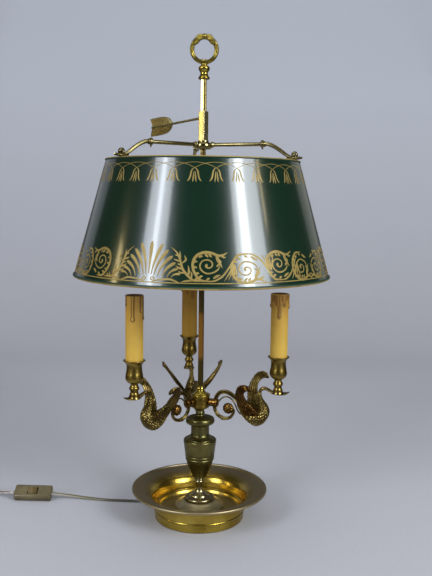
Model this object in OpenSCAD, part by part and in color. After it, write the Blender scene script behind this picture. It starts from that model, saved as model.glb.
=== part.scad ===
// Bouillotte lamp: a spun brass bowl foot, a turned column, three swan candle arms,
// a square rod with a ring finial, and a lacquered tin shade that slides on the rod.
// Millimetres. The lamp's axis is Z and the table is at z = 0.

/* [Foot and bowl] */
// Outside radius of the bowl's rim
bowl_rim_r = 99; // [88:0.5:110]
// Height of the bowl's rim above the table
bowl_rim_z = 44.6; // [40:0.2:52]
// Outside radius of the foot ring
foot_r = 65.4; // [60:0.2:72]
// Height of the foot ring
foot_h = 14; // [12.6:0.2:16]
// Wall of the foot ring
foot_wall = 2; // [1.6:0.1:2.6]
// Height of the bowl's floor above the table
floor_z = 9; // [8.4:0.1:10.4]
// Thickness of the spun bowl
bowl_wall = 1.6; // [1.2:0.1:2]
// Thickness of the felt under the foot
felt_t = 1.5; // [1:0.1:2]
// Radius of the raised plinth on the bowl's floor
plinth_r = 35.6; // [34:0.2:40]
// Height of the plinth
plinth_h = 16; // [15:0.5:18]
// Radius of the room inside the plinth
plinth_bore_r = 27; // [22:0.5:27]

/* [Column] */
// Radius of the column's lowest disc
pedestal_r = 21.4; // [19:0.2:23]
// Height of the pedestal, from the plinth to the vase
pedestal_h = 31; // [27:0.5:38]
// Thinnest radius of the pedestal's stem
pedestal_stem_r = 5; // [4.9:0.1:6]
// Widest radius of the vase
vase_r = 24; // [21:0.5:27]
// Height of the vase
vase_h = 61; // [52:0.5:70]
// Radius of the plain neck above the vase
neck_r = 13.2; // [11:0.2:15]
// Height of the plain neck
neck_h = 20.5; // [16:0.5:26]
// Radius of the cushion under the hub
cushion_r = 21; // [18:0.5:24]
// Height of the cushion and its spindle
cushion_h = 25.5; // [22:0.5:30]
// Outside radius of the tie tube that clamps the column
tie_r = 4; // [3.6:0.1:4.3]
// Bore radius of the tie tube
tie_bore_r = 2.7; // [2.3:0.1:2.9]

/* [Hub and rod] */
// Radius of the hub
hub_r = 13.5; // [13:0.1:15]
// Height of the hub
hub_h = 18; // [17:0.5:22]
// Wall of the hub
hub_wall = 3.1; // [2.6:0.1:3.4]
// Height of the domed cap on the hub
cap_h = 14; // [13:0.5:18]
// Side of the square rod
rod_side = 6.5; // [6:0.1:6.8]
// Length of the square rod, from the hub's cap to the finial
rod_len = 434.5; // [425:0.5:460]

/* [Swan arms] */
// Distance from the lamp's axis to each candle's axis
arm_reach = 115.8; // [105:0.2:125]
// Turn of the first arm about the lamp's axis
arm_turn = 99.3; // [90:0.1:110]
// Radius of the boss that meets the hub
boss_r = 5.75; // [5:0.05:6.2]
// Radius of the candle cup's rim
cup_r = 15; // [14:0.2:17]
// Height of the candle cup
cup_h = 49.7; // [44:0.1:56]

/* [Candles] */
// Outside radius of the candle sleeve
sleeve_r = 12; // [11.7:0.1:12.6]
// Wall of the candle sleeve
sleeve_wall = 1.1; // [0.8:0.1:1.2]
// Length of the candle sleeve
sleeve_len = 91; // [75:1:110]
// Radius of the small screw shell's bore
shell_r = 7; // [6.9:0.05:7.1]
// Length of the small screw shell
shell_len = 17; // [15:0.5:20]
// Depth of the lampholder's mouth below the top of the sleeve
holder_drop = 3; // [1:0.5:8]

/* [Shade] */
// Outside radius of the shade's lower rim
shade_low_r = 181; // [165:1:195]
// Outside radius of the shade's upper rim
shade_top_r = 136; // [130:0.5:142]
// Height of the shade's upper rim above the table
shade_top_z = 519; // [505:1:525]
// Height of the shade
shade_h = 162; // [140:1:170]
// Thickness of the shade's sheet
shade_wall = 0.8; // [0.6:0.1:1.2]
// Width of the ledge turned inward at the top of the shade
ledge_w = 15; // [13:0.5:20]

/* [Carrier] */
// Radius of the collar that slides on the rod
collar_r = 12.4; // [11:0.2:15]
// Height of the collar above the shade's upper rim
collar_rise = 15; // [13:0.5:20]
// Side of the square sleeve above the collar
sleeve_side = 9.8; // [9.5:0.1:11]
// Length of the square sleeve
rod_sleeve_len = 40; // [30:1:48]
// Radius of the carrier's round bars
bar_r = 2.5; // [2:0.1:3]
// Turn of the first carrier bar about the lamp's axis
carrier_turn = 97; // [90:0.5:110]
// Turn of the arrow and of the square sleeve about the lamp's axis
arrow_turn = 140.4; // [130:0.2:150]
// Turn of the square rod against the faces of the sleeve around it
rod_skew = 21.6; // [0:0.2:24]
// Droop of the arrow below the horizontal
arrow_droop = 5.5; // [0:0.5:6]
// Length of the arrow
arrow_len = 97; // [80:1:110]

/* [Finial] */
// Radius of the finial ring, to the middle of its wire
ring_r = 17; // [14:0.5:20]
// Radius of the finial ring's wire
ring_wire_r = 3.2; // [2.6:0.1:3.6]
// Height of the finial's neck
finial_h = 21; // [17:0.5:26]

/* [Cord and switch] */
// Width of the flat twin cord
cord_w = 5.4; // [4.8:0.1:5.6]
// Thickness of the flat twin cord
cord_t = 2.8; // [2.4:0.1:3]
// Turn of the cord's exit about the lamp's axis
cord_turn = 153; // [150:1:156]
// Length of the strain relief outside the foot
relief_len = 21; // [20:0.5:22]
// Length of the switch on the cord
switch_len = 57; // [54:0.5:60]
// Width of the switch
switch_w = 24; // [22:0.5:26]
// Thickness of the switch
switch_t = 12; // [11:0.5:13]
// Lean of the switch's face towards the front
switch_lean = 33; // [30:1:36]
// Width of the plug's body
plug_w = 35.3; // [34:0.1:36]
// Thickness of the plug's body
plug_t = 13.7; // [12:0.1:14]
// Length of the plug's body
plug_len = 35; // [33:0.5:37]

/* [Clearances] */
// Gap between turned pieces and the rods and screws in them
bore_gap = 0.1; // [0.05:0.01:0.1]
// Gap on each side of the square rod in its sliding sleeve
slide_gap = 0.05; // [0.03:0.01:0.1]
// Gap between parts that are seated on each other's curved faces
seat_gap = 0.05; // [0.03:0.01:0.1]
// Gap around the rocker in the switch's face
rocker_gap = 0.3; // [0.2:0.05:0.5]

/* [Hidden] */
$fn = 72;
arms = 3;

brass_aged = "#8a7a3c";
brass_gold = "#b8943a";
brass_pale = "#a39a72";
steel = "#8d9093";
iron = "#4a4a4c";
lacquer = "#1b4332";
ivory = "#d9b65c";
moulded = "#6f6447";

// Foot
plinth_z = floor_z + plinth_h;
foot_in_r = foot_r - foot_wall;
bowl_low_r = foot_in_r - seat_gap;
bead_r = 2;
weight_r = foot_in_r - 3;
weight_top_z = floor_z - bowl_wall;
weight_hole_r = plinth_bore_r - 1;
floor_hole_r = plinth_bore_r;
base_screw_r = 2;
base_screw_ring_r = (plinth_bore_r + plinth_r) / 2 + 0.6;
base_screw_head_r = 3.8;
base_screw_head_h = 2.2;
base_screw_len = weight_top_z - felt_t + bowl_wall + 6.5;
plinth_top_wall = 3.5;

// Column, stacked upward on the plinth
vase_z = plinth_z + pedestal_h;
neck_z = vase_z + vase_h;
cushion_z = neck_z + neck_h;
hub_z = cushion_z + cushion_h;
cap_z = hub_z + hub_h;
rod_z = cap_z + cap_h;
finial_z = rod_z + rod_len;
column_bore_r = tie_r + bore_gap;
tie_nut_h = 4;
tie_washer_t = 1.2;
tie_low_z = plinth_z - plinth_top_wall - tie_washer_t - tie_nut_h - 1;
tie_top_z = cap_z + 5;
hub_in_r = hub_r - hub_wall;
hub_floor_t = 2;
cap_spigot_h = 2.5;
rod_stud_r = 2.5;
rod_stud_len = 7;

// Arms: the outlines below are drawn for a reach of 102.3 mm from the hub's wall
arm_z = hub_z + hub_h * 0.54;
arm_k = (arm_reach - hub_r) / 102.3;
pad_t = 3.7;
pad_r = 6.8;
pad_z = arm_z + 22.6 * arm_k;
cup_z = pad_z + pad_t;
cup_rim_z = cup_z + cup_h;
nipple_r = 4;
nipple_bore_r = 2.5;
nut_t = 3.2;
nut_r = 5.8;
arm_screw_r = 2;
arm_screw_head_r = 2.9;
arm_screw_head_t = 2;
arm_screw_len = 12;

// Candles
well_depth = 2.8;
well_r = sleeve_r + bore_gap;
cup_room_r = sleeve_r - 3.2;
cup_room_z = cup_z + 27;
sleeve_z = cup_rim_z - well_depth;
sleeve_top_z = sleeve_z + sleeve_len;
sleeve_in_r = sleeve_r - sleeve_wall;
holder_r = sleeve_in_r - 0.3;
holder_top_z = sleeve_top_z - holder_drop;
holder_h = shell_len + 17;
holder_z = holder_top_z - holder_h;
shell_wall = 0.7;
shell_top_z = holder_top_z - 1;
shell_z = shell_top_z - shell_len;
bracket_t = 1.2;
bracket_w = 7;
bracket_x = cup_room_r - 1.8;
contact_r = 1.8;

// Shade and carrier
shade_z = shade_top_z - shade_h;
low_bead_r = 2;
top_bead_r = 1.6;
ledge_in_r = shade_top_r - ledge_w;
collar_z = shade_top_z + collar_rise;
collar_h = 9;
bar_z = collar_z + 6;
neck_gap_h = 3;
rod_sleeve_z = collar_z + collar_h + neck_gap_h;
square_hole = rod_side + 2 * slide_gap;
rod_turn = arrow_turn + rod_skew;
bar_stud_r = 1.6;
bar_stud_len = 5;
knuckle_x = shade_top_r - 50;
foot_x = shade_top_r - 9;
shade_stud_r = 1.5;
shade_nut_r = 3.2;
shade_nut_t = 2.6;
foot_t = 2;
foot_z = shade_top_z + seat_gap;

// Arrow
arrow_z = rod_sleeve_z + rod_sleeve_len - 9;
arrow_thread_r = 2;
arrow_shaft_r = 1.8;
arrow_tip_r = 1;
arrow_tip_gap = 0.1;
arrow_root = rod_side / 2 / cos(rod_skew);
arrow_rake = tan(rod_skew) + tan(arrow_droop);
vane_len = 42;
vane_half = 13;
vane_t = 1.6;

// Cord, strain relief, inner lead
relief_r = 4.2;
relief_tip_r = 3.4;
relief_flange_r = 3.9;
relief_flange_t = 1.2;
lead_r = 1.6;
lead_z = felt_t + relief_r - 1.1;
lead_bend_r = tie_low_z + 0.7 - lead_z;
lead_top_bend_r = 5;
window_z = hub_z + 9;
splice_r = 1.7;
splice_len = 9;
splice_ring_r = (tie_r + hub_in_r) / 2;
relief_tip = [(foot_r + relief_len) * cos(cord_turn), (foot_r + relief_len) * sin(cord_turn), lead_z];

// Switch, in its own frame: X along the cord, Y across the face, Z out of the face
switch_at = [-256.5, 55.3, 9.8];
switch_heading = -3;
switch_wall = 1.6;
switch_chamfer_w = 3.6;
switch_chamfer_t = 2.35;
rocker_w = 13;
rocker_r = 8.7;
rocker_tilt = 8;
rocker_pivot = switch_t / 2 - 2.5;
rocker_pin_r = 0.8;

// Coil, tie and plug
coil_at = [-366, 62];
coil_mid_r = 31;
coil_w = 11.8;
coil_h = 11.1;
tie_t = 0.8;
tie_w = 4;
coil_z = tie_t + 0.1;
plug_rear = [-375, 5];
pin_r = 2;
pin_len = 19;
pin_spacing = 18.6;

// The cord's route, point by point: x, y, z and the roll of its flat side in degrees
lamp_route = [
    [-80.6, 41, 4.2, 0], [-87, 43.6, 3.2, 0], [-96, 45.5, 2, 0], [-107, 46.8, 1.5, 0],
    [-121, 47.8, 1.5, 0], [-136, 49, 1.5, 0], [-150, 51.3, 1.5, 0], [-164, 54, 1.7, 5],
    [-177, 56, 2.4, 12], [-190, 57.1, 3.8, 20], [-202, 56.9, 5.7, 27], [-212, 55.3, 7.6, 31],
    [-219, 53.9, 9, 33]
];
plug_route = [
    [-294, 58.1, 9.4, 34], [-300, 60.4, 8.5, 38], [-308, 64.8, 6.9, 46], [-318, 71, 5.2, 55],
    [-329, 78.4, 4, 66], [-340, 86, 3.5, 76], [-351, 92.6, 3.6, 84], [-361, 96.6, 3.7, 90]
];
tail_route = [
    [-401.4, 60, 9.3, 90], [-402.4, 48, 8.8, 90], [-402, 36, 8.2, 80], [-399.2, 25, 7.6, 60],
    [-393.4, 15, 7.2, 40], [-386.5, 8.6, 6.9, 20], [-379.4, 5.3, 6.9, 5]
];

// ---- Shapes that several parts share ----

// One point of a smooth curve between b and c
function between(a, b, c, d, t) =
    0.5 * (2 * b + (c - a) * t + (2 * a - 5 * b + 4 * c - d) * t * t
           + (3 * b - a - 3 * c + d) * t * t * t);

// A smooth curve through the points p, with n steps between two of them
function smooth(p, n) = concat(
    [for (i = [0:len(p) - 2]) for (j = [0:n - 1])
        between(p[max(i - 1, 0)], p[i], p[i + 1], p[min(i + 2, len(p) - 1)], j / n)],
    [p[len(p) - 1]]);

// The faces of a skin over rings of points, closed at both ends
function skin_faces(rings, sides) = concat(
    [[for (k = [0:sides - 1]) k]],
    [[for (k = [sides - 1:-1:0]) (rings - 1) * sides + k]],
    [for (i = [0:rings - 2]) for (k = [0:sides - 1])
        let (a = i * sides + k, b = i * sides + (k + 1) % sides)
        each [[a, a + sides, b], [b, a + sides, b + sides]]]);

// A closed skin over rings; each ring is [centre, first half-axis, second half-axis]
module skin(rings, sides = 10) {
    points = [for (r = rings) for (k = [0:sides - 1])
        r[0] + r[1] * cos(360 * k / sides) + r[2] * sin(360 * k / sides)];
    polyhedron(points = points, faces = skin_faces(len(rings), sides), convexity = 6);
}

// A limb that bends in the XZ plane; rows are [x, z, half height, half width]
module limb(rows, sides = 10) {
    n = len(rows);
    skin([for (i = [0:n - 1])
        let (a = rows[max(i - 1, 0)], b = rows[min(i + 1, n - 1)],
             d = [b[0] - a[0], b[1] - a[1]] / norm([b[0] - a[0], b[1] - a[1]]), r = rows[i])
        [[r[0], 0, r[1]], [-d[1], 0, d[0]] * r[2], [0, -r[3], 0]]], sides);
}

// A body between a back and a belly line; rows are [back x, back z, belly x, belly z, half width]
module swan_skin(rows, sides = 12) {
    skin([for (r = rows)
        [[(r[0] + r[2]) / 2, 0, (r[1] + r[3]) / 2],
         [(r[0] - r[2]) / 2, 0, (r[1] - r[3]) / 2],
         [0, -r[4], 0]]], sides);
}

// A blade between two edges; rows are [inner point, outer point, half thickness]
module blade(rows, sides = 8) {
    n = len(rows);
    mids = [for (r = rows) (r[0] + r[1]) / 2];
    skin([for (i = [0:n - 1])
        let (along = mids[min(i + 1, n - 1)] - mids[max(i - 1, 0)],
             across = (rows[i][1] - rows[i][0]) / 2,
             out = cross(along, across))
        [mids[i], across, out / norm(out) * rows[i][2]]], sides);
}

// A flat cord along a route of [x, y, z, roll]
module flat_cord(route) {
    n = len(route);
    skin([for (i = [0:n - 1])
        let (a = route[max(i - 1, 0)], b = route[min(i + 1, n - 1)],
             d = [b[0] - a[0], b[1] - a[1], 0] / norm([b[0] - a[0], b[1] - a[1]]),
             r = route[i], level = [d[1], -d[0], 0])
        [[r[0], r[1], r[2]],
         (level * cos(r[3]) + [0, 0, 1] * sin(r[3])) * cord_w / 2,
         (level * sin(r[3]) - [0, 0, 1] * cos(r[3])) * cord_t / 2]], 8);
}

module turned(profile) {
    rotate_extrude() polygon(profile);
}

module hex_nut(r, t, bore) {
    difference() {
        cylinder(r = r, h = t, $fn = 6);
        translate([0, 0, -1]) cylinder(r = bore, h = t + 2);
    }
}

module at_arm(i) {
    rotate([0, 0, arm_turn + i * 360 / arms]) children();
}

module at_candle(i) {
    at_arm(i) translate([arm_reach, 0, 0]) children();
}

module at_carrier(i) {
    rotate([0, 0, carrier_turn + i * 360 / arms]) children();
}

// ---- Foot and bowl ----

// The pad is notched where the strain relief stands behind the foot ring
module felt_pad() {
    notch = relief_flange_r + seat_gap * 2;
    color("#3d4a38") difference() {
        cylinder(r = foot_in_r - seat_gap, h = felt_t);
        rotate([0, 0, cord_turn]) translate([foot_in_r - relief_flange_t - 0.8, -notch, -1])
            cube([relief_flange_t + 1, 2 * notch, felt_t + 2]);
    }
}

module foot_ring() {
    color(brass_gold) difference() {
        turned([
            [foot_in_r, 0], [foot_r - 0.6, 0], [foot_r, 0.7], [foot_r, foot_h * 0.75],
            [foot_r + 0.7, foot_h * 0.84], [foot_r + 0.9, foot_h * 0.92],
            [foot_r + 0.6, foot_h], [foot_in_r, foot_h]
        ]);
        rotate([0, 0, cord_turn]) translate([foot_in_r - 5, 0, lead_z]) rotate([0, 90, 0])
            cylinder(r = relief_tip_r - 0.2 + bore_gap, h = 12);
    }
}

module base_weight() {
    color(iron) difference() {
        translate([0, 0, felt_t]) cylinder(r = weight_r, h = weight_top_z - felt_t);
        cylinder(r = weight_hole_r, h = floor_z);
        rotate([0, 0, cord_turn]) translate([0, -4, -1]) cube([foot_r, 8, floor_z]);
        for (i = [0:2]) at_base_screw(i) {
            cylinder(r = base_screw_r + bore_gap, h = floor_z);
            cylinder(r = base_screw_head_r + bore_gap, h = felt_t + base_screw_head_h + bore_gap);
        }
    }
}

module at_base_screw(i) {
    rotate([0, 0, cord_turn + 60 + 120 * i]) translate([base_screw_ring_r, 0, 0]) children();
}

// The bowl's outline: radius, height, going out along the underside and back inside
module bowl() {
    wall_z = bowl_rim_z - foot_h;
    lip_r = bowl_rim_r - foot_r;
    shoulder_z = foot_h + bowl_wall;
    // The rolled rim, from under the lip round to its inside
    rim = [for (k = [0:20]) let (a = -130 + k * 15.1)
        [bowl_rim_r - bead_r + bead_r * cos(a), bowl_rim_z - bead_r + bead_r * sin(a)]];
    outer = smooth([
        [foot_r + 0.7, foot_h], [foot_r + lip_r * 0.03, foot_h + wall_z * 0.2],
        [foot_r + lip_r * 0.075, foot_h + wall_z * 0.4],
        [foot_r + lip_r * 0.17, foot_h + wall_z * 0.58],
        [foot_r + lip_r * 0.34, foot_h + wall_z * 0.71],
        [foot_r + lip_r * 0.56, foot_h + wall_z * 0.8],
        [foot_r + lip_r * 0.78, foot_h + wall_z * 0.855], rim[0]
    ], 3);
    inner = smooth([
        rim[20],
        [foot_r + lip_r * 0.78, foot_h + wall_z * 0.855 + bowl_wall],
        [foot_r + lip_r * 0.55, foot_h + wall_z * 0.8 + bowl_wall],
        [foot_r + lip_r * 0.32, foot_h + wall_z * 0.71 + bowl_wall * 0.9],
        [foot_r + lip_r * 0.17 - bowl_wall * 0.55, foot_h + wall_z * 0.58 + bowl_wall * 0.8],
        [foot_r + lip_r * 0.075 - bowl_wall * 0.9, foot_h + wall_z * 0.4 + bowl_wall * 0.4],
        [foot_r + lip_r * 0.03 - bowl_wall, foot_h + wall_z * 0.2], [foot_r - 1.3, shoulder_z + 0.3]
    ], 3);
    color(brass_gold) difference() {
        turned(concat(
            [[floor_hole_r, weight_top_z], [bowl_low_r - 4.6, weight_top_z],
             [bowl_low_r - 1.6, weight_top_z + 1.3], [bowl_low_r, weight_top_z + 4],
             [bowl_low_r, foot_h + seat_gap], [foot_r + 0.5, foot_h + seat_gap]],
            outer, [for (k = [1:19]) rim[k]], inner,
            [[bowl_low_r - bowl_wall, shoulder_z - 1.5],
             [bowl_low_r - bowl_wall - 1.4, floor_z + 1.2],
             [bowl_low_r - 5, floor_z], [floor_hole_r, floor_z]]));
        for (i = [0:2]) at_base_screw(i) cylinder(r = base_screw_r + bore_gap, h = floor_z + 1);
    }
}

module plinth() {
    color(brass_pale) difference() {
        turned([
            [plinth_bore_r, floor_z], [plinth_r, floor_z], [plinth_r, plinth_z - 8],
            [plinth_r - 0.7, plinth_z - 7], [plinth_r - 3, plinth_z - 6],
            [plinth_r - 6.4, plinth_z - 4.4], [plinth_r - 9, plinth_z - 2.6],
            [plinth_r - 11, plinth_z - 0.8], [plinth_r - 12.4, plinth_z],
            [column_bore_r, plinth_z], [column_bore_r, plinth_z - plinth_top_wall],
            [plinth_bore_r - 4, plinth_z - plinth_top_wall],
            [plinth_bore_r, plinth_z - plinth_top_wall - 3.6]
        ]);
        for (i = [0:2]) at_base_screw(i) translate([0, 0, floor_z - 1])
            cylinder(r = base_screw_r + bore_gap, h = base_screw_len - weight_top_z + felt_t + 0.6);
    }
}

module base_screws() {
    color(steel) for (i = [0:2]) at_base_screw(i) translate([0, 0, felt_t + bore_gap]) {
        cylinder(r = base_screw_r, h = base_screw_len);
        cylinder(r = base_screw_head_r, h = base_screw_head_h - bore_gap);
    }
}

module strain_relief() {
    color("#3a3630") rotate([0, 0, cord_turn]) translate([0, 0, lead_z]) rotate([0, 90, 0])
        turned([
            [lead_r + bore_gap, foot_in_r - relief_flange_t - 0.6],
            [relief_flange_r, foot_in_r - relief_flange_t - 0.6],
            [relief_flange_r, foot_in_r - 0.6], [relief_tip_r - 0.2, foot_in_r - 0.6],
            [relief_tip_r - 0.2, foot_r + 0.5], [relief_r, foot_r + 0.5],
            [relief_r, foot_r + 3], [relief_tip_r, foot_r + relief_len - 0.6],
            [relief_tip_r - 0.5, foot_r + relief_len], [lead_r + bore_gap, foot_r + relief_len]
        ]);
}

// ---- Column ----

module tie_tube() {
    color(steel) difference() {
        translate([0, 0, tie_low_z]) cylinder(r = tie_r, h = tie_top_z - tie_low_z);
        translate([0, 0, tie_low_z - 1]) cylinder(r = tie_bore_r, h = tie_top_z - tie_low_z + 2);
        rotate([0, 0, arm_turn + 60]) translate([0, -lead_r - 0.3, window_z - 5])
            cube([tie_r + 1, 2 * lead_r + 0.6, 9]);
    }
}

module tie_nut() {
    nut_z = plinth_z - plinth_top_wall - tie_washer_t - tie_nut_h;
    color(steel) {
        translate([0, 0, nut_z]) hex_nut(7.5, tie_nut_h, tie_r + bore_gap);
        translate([0, 0, nut_z + tie_nut_h]) difference() {
            cylinder(r = 10, h = tie_washer_t);
            translate([0, 0, -1]) cylinder(r = tie_r + bore_gap, h = tie_washer_t + 2);
        }
    }
}

module pedestal() {
    h = pedestal_h;
    s = pedestal_stem_r;
    p = pedestal_r;
    color(brass_aged) translate([0, 0, plinth_z]) turned(concat(
        [[column_bore_r, 0], [p - 1.8, 0], [p - 0.5, 0.8], [p, 2], [p, 3.3], [p - 0.6, 4.2]],
        smooth([[p - 2.2, 4.7], [p * 0.8, 5.2], [p * 0.7, 5.8]], 3),
        [[p * 0.655, h * 0.2], [p * 0.64, h * 0.225], [p * 0.625, h * 0.25]],
        smooth([[p * 0.58, h * 0.272], [s + 4.6, h * 0.325], [s + 1.8, h * 0.42],
                [s + 0.4, h * 0.56], [s, h * 0.68], [s + 0.1, h * 0.79]], 4),
        [[s + 0.8, h * 0.812], [s + 1.8, h * 0.84], [s + 2.2, h * 0.885], [s + 1.9, h * 0.93],
         [s + 0.8, h * 0.965], [s + 0.6, h], [column_bore_r, h]]));
}

module vase() {
    h = vase_h;
    r = vase_r;
    s = pedestal_stem_r;
    color(brass_aged) translate([0, 0, vase_z]) turned(concat(
        [[column_bore_r, 0], [s + 0.6, 0]],
        smooth([[s + 0.8, 0.5], [r * 0.35, h * 0.03], [r * 0.44, h * 0.06], [r * 0.515, h * 0.12],
                [r * 0.595, h * 0.2], [r * 0.72, h * 0.33], [r * 0.8, h * 0.44],
                [r * 0.825, h * 0.49]], 3),
        [[r * 0.86, h * 0.497], [r * 0.876, h * 0.51], [r * 0.872, h * 0.525],
         [r * 0.852, h * 0.537], [r * 0.855, h * 0.552], [r * 0.885, h * 0.565],
         [r * 0.89, h * 0.595], [r * 0.876, h * 0.605], [r * 0.878, h * 0.622],
         [r * 0.9, h * 0.632]],
        smooth([[r * 0.905, h * 0.65], [r * 0.94, h * 0.77], [r * 0.98, h * 0.89], [r, h * 0.945],
                [r * 0.99, h * 0.975], [r * 0.95, h * 0.993]], 3),
        [[r * 0.9, h], [column_bore_r, h]]));
}

module column_neck() {
    color(brass_aged) translate([0, 0, neck_z]) turned([
        [column_bore_r, 0], [neck_r + 8, 0], [neck_r + 7.6, 0.8], [neck_r + 5.6, 1.7],
        [neck_r + 3.4, 3], [neck_r + 1.6, 4.5], [neck_r + 0.5, 6], [neck_r, 8],
        [neck_r, neck_h], [column_bore_r, neck_h]
    ]);
}

module cushion() {
    h = cushion_h;
    r = cushion_r;
    color(brass_aged) translate([0, 0, cushion_z]) turned(concat(
        [[column_bore_r, 0], [neck_r + 0.4, 0]],
        smooth([[neck_r + 1, h * 0.02], [r * 0.87, h * 0.07], [r * 0.975, h * 0.15],
                [r, h * 0.25], [r * 0.98, h * 0.36], [r * 0.88, h * 0.44],
                [r * 0.68, h * 0.5]], 3),
        [[7.6, h * 0.54], [6.1, h * 0.577], [5.7, h * 0.64], [6.6, h * 0.695], [6.7, h * 0.74],
         [5.7, h * 0.8], [5.6, h * 0.875], [7.2, h * 0.937], [hub_r - 2.5, h],
         [column_bore_r, h]]));
}

module hub_body() {
    color(brass_gold) difference() {
        translate([0, 0, hub_z]) turned([
            [column_bore_r, 0], [hub_r - 2.5, 0], [hub_r - 0.8, 1.2], [hub_r, 2.6], [hub_r, hub_h],
            [hub_in_r, hub_h], [hub_in_r, hub_floor_t], [column_bore_r, hub_floor_t]
        ]);
        for (i = [0:arms - 1]) at_arm(i) translate([0, 0, arm_z]) rotate([0, 90, 0])
            cylinder(r = arm_screw_r + bore_gap, h = hub_r + 1);
    }
}

module hub_cap() {
    h = cap_h;
    color(brass_gold) difference() {
        translate([0, 0, cap_z]) turned(concat(
            [[0, -cap_spigot_h], [hub_in_r - seat_gap, -cap_spigot_h], [hub_in_r - seat_gap, 0],
             [hub_r + 0.4, 0], [hub_r + 0.8, 0.6], [hub_r + 0.8, 1.8], [hub_r + 0.2, 2.4]],
            smooth([[hub_r - 1.5, 2.8], [hub_r - 3.6, 4], [8.2, h * 0.4], [6.8, h * 0.5]], 3),
            [[6.4, h * 0.56], [5.9, h * 0.6], [5.7, h * 0.66], [6.2, h * 0.74], [6.3, h * 0.8],
             [5.9, h * 0.88], [5.5, h], [0, h]]));
        translate([0, 0, cap_z - cap_spigot_h - 1])
            cylinder(r = tie_r + bore_gap, h = tie_top_z - cap_z + cap_spigot_h + 1.3);
        translate([0, 0, rod_z - rod_stud_len - 0.4])
            cylinder(r = rod_stud_r + bore_gap, h = rod_stud_len + 2);
    }
}

module square_rod() {
    color("#c8a860") {
        rotate([0, 0, rod_turn]) translate([-rod_side / 2, -rod_side / 2, rod_z])
            cube([rod_side, rod_side, rod_len]);
        translate([0, 0, rod_z - rod_stud_len]) cylinder(r = rod_stud_r, h = rod_stud_len + 1);
        translate([0, 0, finial_z - 1]) cylinder(r = rod_stud_r, h = rod_stud_len + 1);
    }
}

// ---- Swan arms, drawn along +X ----

// A point of the arm's outline, moved and sized with the arm's reach
function arm_x(x) = hub_r + (x - 13.5) * arm_k;
function arm_h(z) = arm_z + (z - 172.7) * arm_k;
function arm_row(r) = [arm_x(r[0]), arm_h(r[1]), r[2] * arm_k, r[3] * arm_k];

swan_rows = [
    [56, 174.5, 57.7, 169.5, 2], [61, 175, 62.5, 161.5, 5.5], [67.5, 173.5, 68.5, 155, 9],
    [74.5, 171, 76, 149.3, 11.5], [81, 168.5, 86, 145.9, 12.5], [85.5, 167.5, 96, 150.9, 12],
    [88, 168.7, 102.2, 160.5, 10], [88.8, 174, 104, 168.8, 8], [88.2, 180, 101, 177, 6],
    [87.4, 186, 95.3, 184, 4.2], [87.2, 190.5, 92.2, 190.2, 3], [87.6, 194.5, 91.8, 193.6, 2.7],
    [89, 198.4, 92.4, 195.9, 2.6], [91.8, 201.4, 94, 197.6, 2.8], [95.5, 203, 96.5, 198.4, 3],
    [99.5, 202.6, 99.5, 198.4, 3.2], [103.4, 201.2, 103, 196.8, 3.9], [107.4, 199.1, 106.8, 195.2, 4.9],
    [111.6, 198.2, 111.4, 194.2, 6], [116, 197.5, 116.2, 193.8, 6.6], [120.4, 197.6, 120.8, 194.1, 6.3],
    [124.8, 198.4, 125.2, 195.3, 5.3], [128.4, 199.8, 128.8, 197.1, 3.8], [130.6, 201.4, 131.2, 199.2, 2]
];
arch_rows = smooth([
    [23.4, 174, 2.3, 2.6], [25.2, 182.4, 2.4, 2.8], [29.6, 188, 2.5, 2.8], [36.7, 190.3, 2.5, 2.8],
    [44, 189.2, 2.5, 2.8], [51, 185, 2.5, 3], [57, 179, 2.5, 3], [63, 171, 2.5, 3]
], 3);
scroll_rows = smooth([
    [21.6, 171, 2.2, 2.6], [22.2, 164.5, 2.1, 2.4], [25, 158, 2, 2.3], [30, 153.3, 2, 2.2],
    [36.5, 151.2, 2, 2.2], [43.2, 152, 1.9, 2.1], [48.6, 156.2, 1.8, 2], [51.3, 162.4, 1.6, 1.8],
    [49.6, 167.6, 1.3, 1.6]
], 3);
tendril_rows = smooth([
    [26, 172.5, 1.2, 1.4], [29.6, 176.9, 1.2, 1.4], [34, 181.2, 1.1, 1.5], [39.5, 183.2, 1.1, 1.6],
    [45, 182.2, 1, 1.5], [50, 178, 1, 1.4], [54, 171.6, 1, 1.3], [57, 165, 1, 1.2],
    [61.2, 160.4, 1, 1.2], [66, 161, 1, 1.2]
], 2);

module swan_arm(i) {
    color(brass_aged) at_arm(i) difference() {
        union() {
            translate([0, 0, arm_z]) rotate([0, 90, 0]) turned([
                [0, hub_r - 3], [boss_r - 0.5, hub_r - 3], [boss_r - 0.5, hub_r + 1.4],
                [boss_r, hub_r + 2.2], [boss_r, arm_x(23.2)], [boss_r + 0.9, arm_x(23.8)],
                [boss_r + 0.9, arm_x(25.8)], [boss_r, arm_x(26.6)], [boss_r - 2, arm_x(27.4)],
                [0, arm_x(27.4)]
            ]);
            limb([for (r = arch_rows) arm_row(r)]);
            limb([for (r = scroll_rows) arm_row(r)]);
            limb([for (r = tendril_rows) arm_row(r)], 6);
            swan_skin([for (r = swan_rows)
                [arm_x(r[0]), arm_h(r[1]), arm_x(r[2]), arm_h(r[3]), r[4] * arm_k]]);
            rosette();
            translate([arm_reach, 0, pad_z]) cylinder(r = pad_r, h = pad_t);
        }
        cylinder(r = hub_r + seat_gap, h = arm_z * 2);
        translate([0, 0, arm_z]) rotate([0, 90, 0])
            cylinder(r = arm_screw_r + seat_gap, h = hub_in_r + arm_screw_len + 0.5);
        translate([arm_reach, 0, pad_z - 4]) cylinder(r = nipple_r + bore_gap, h = pad_t + 6);
    }
}

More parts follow.
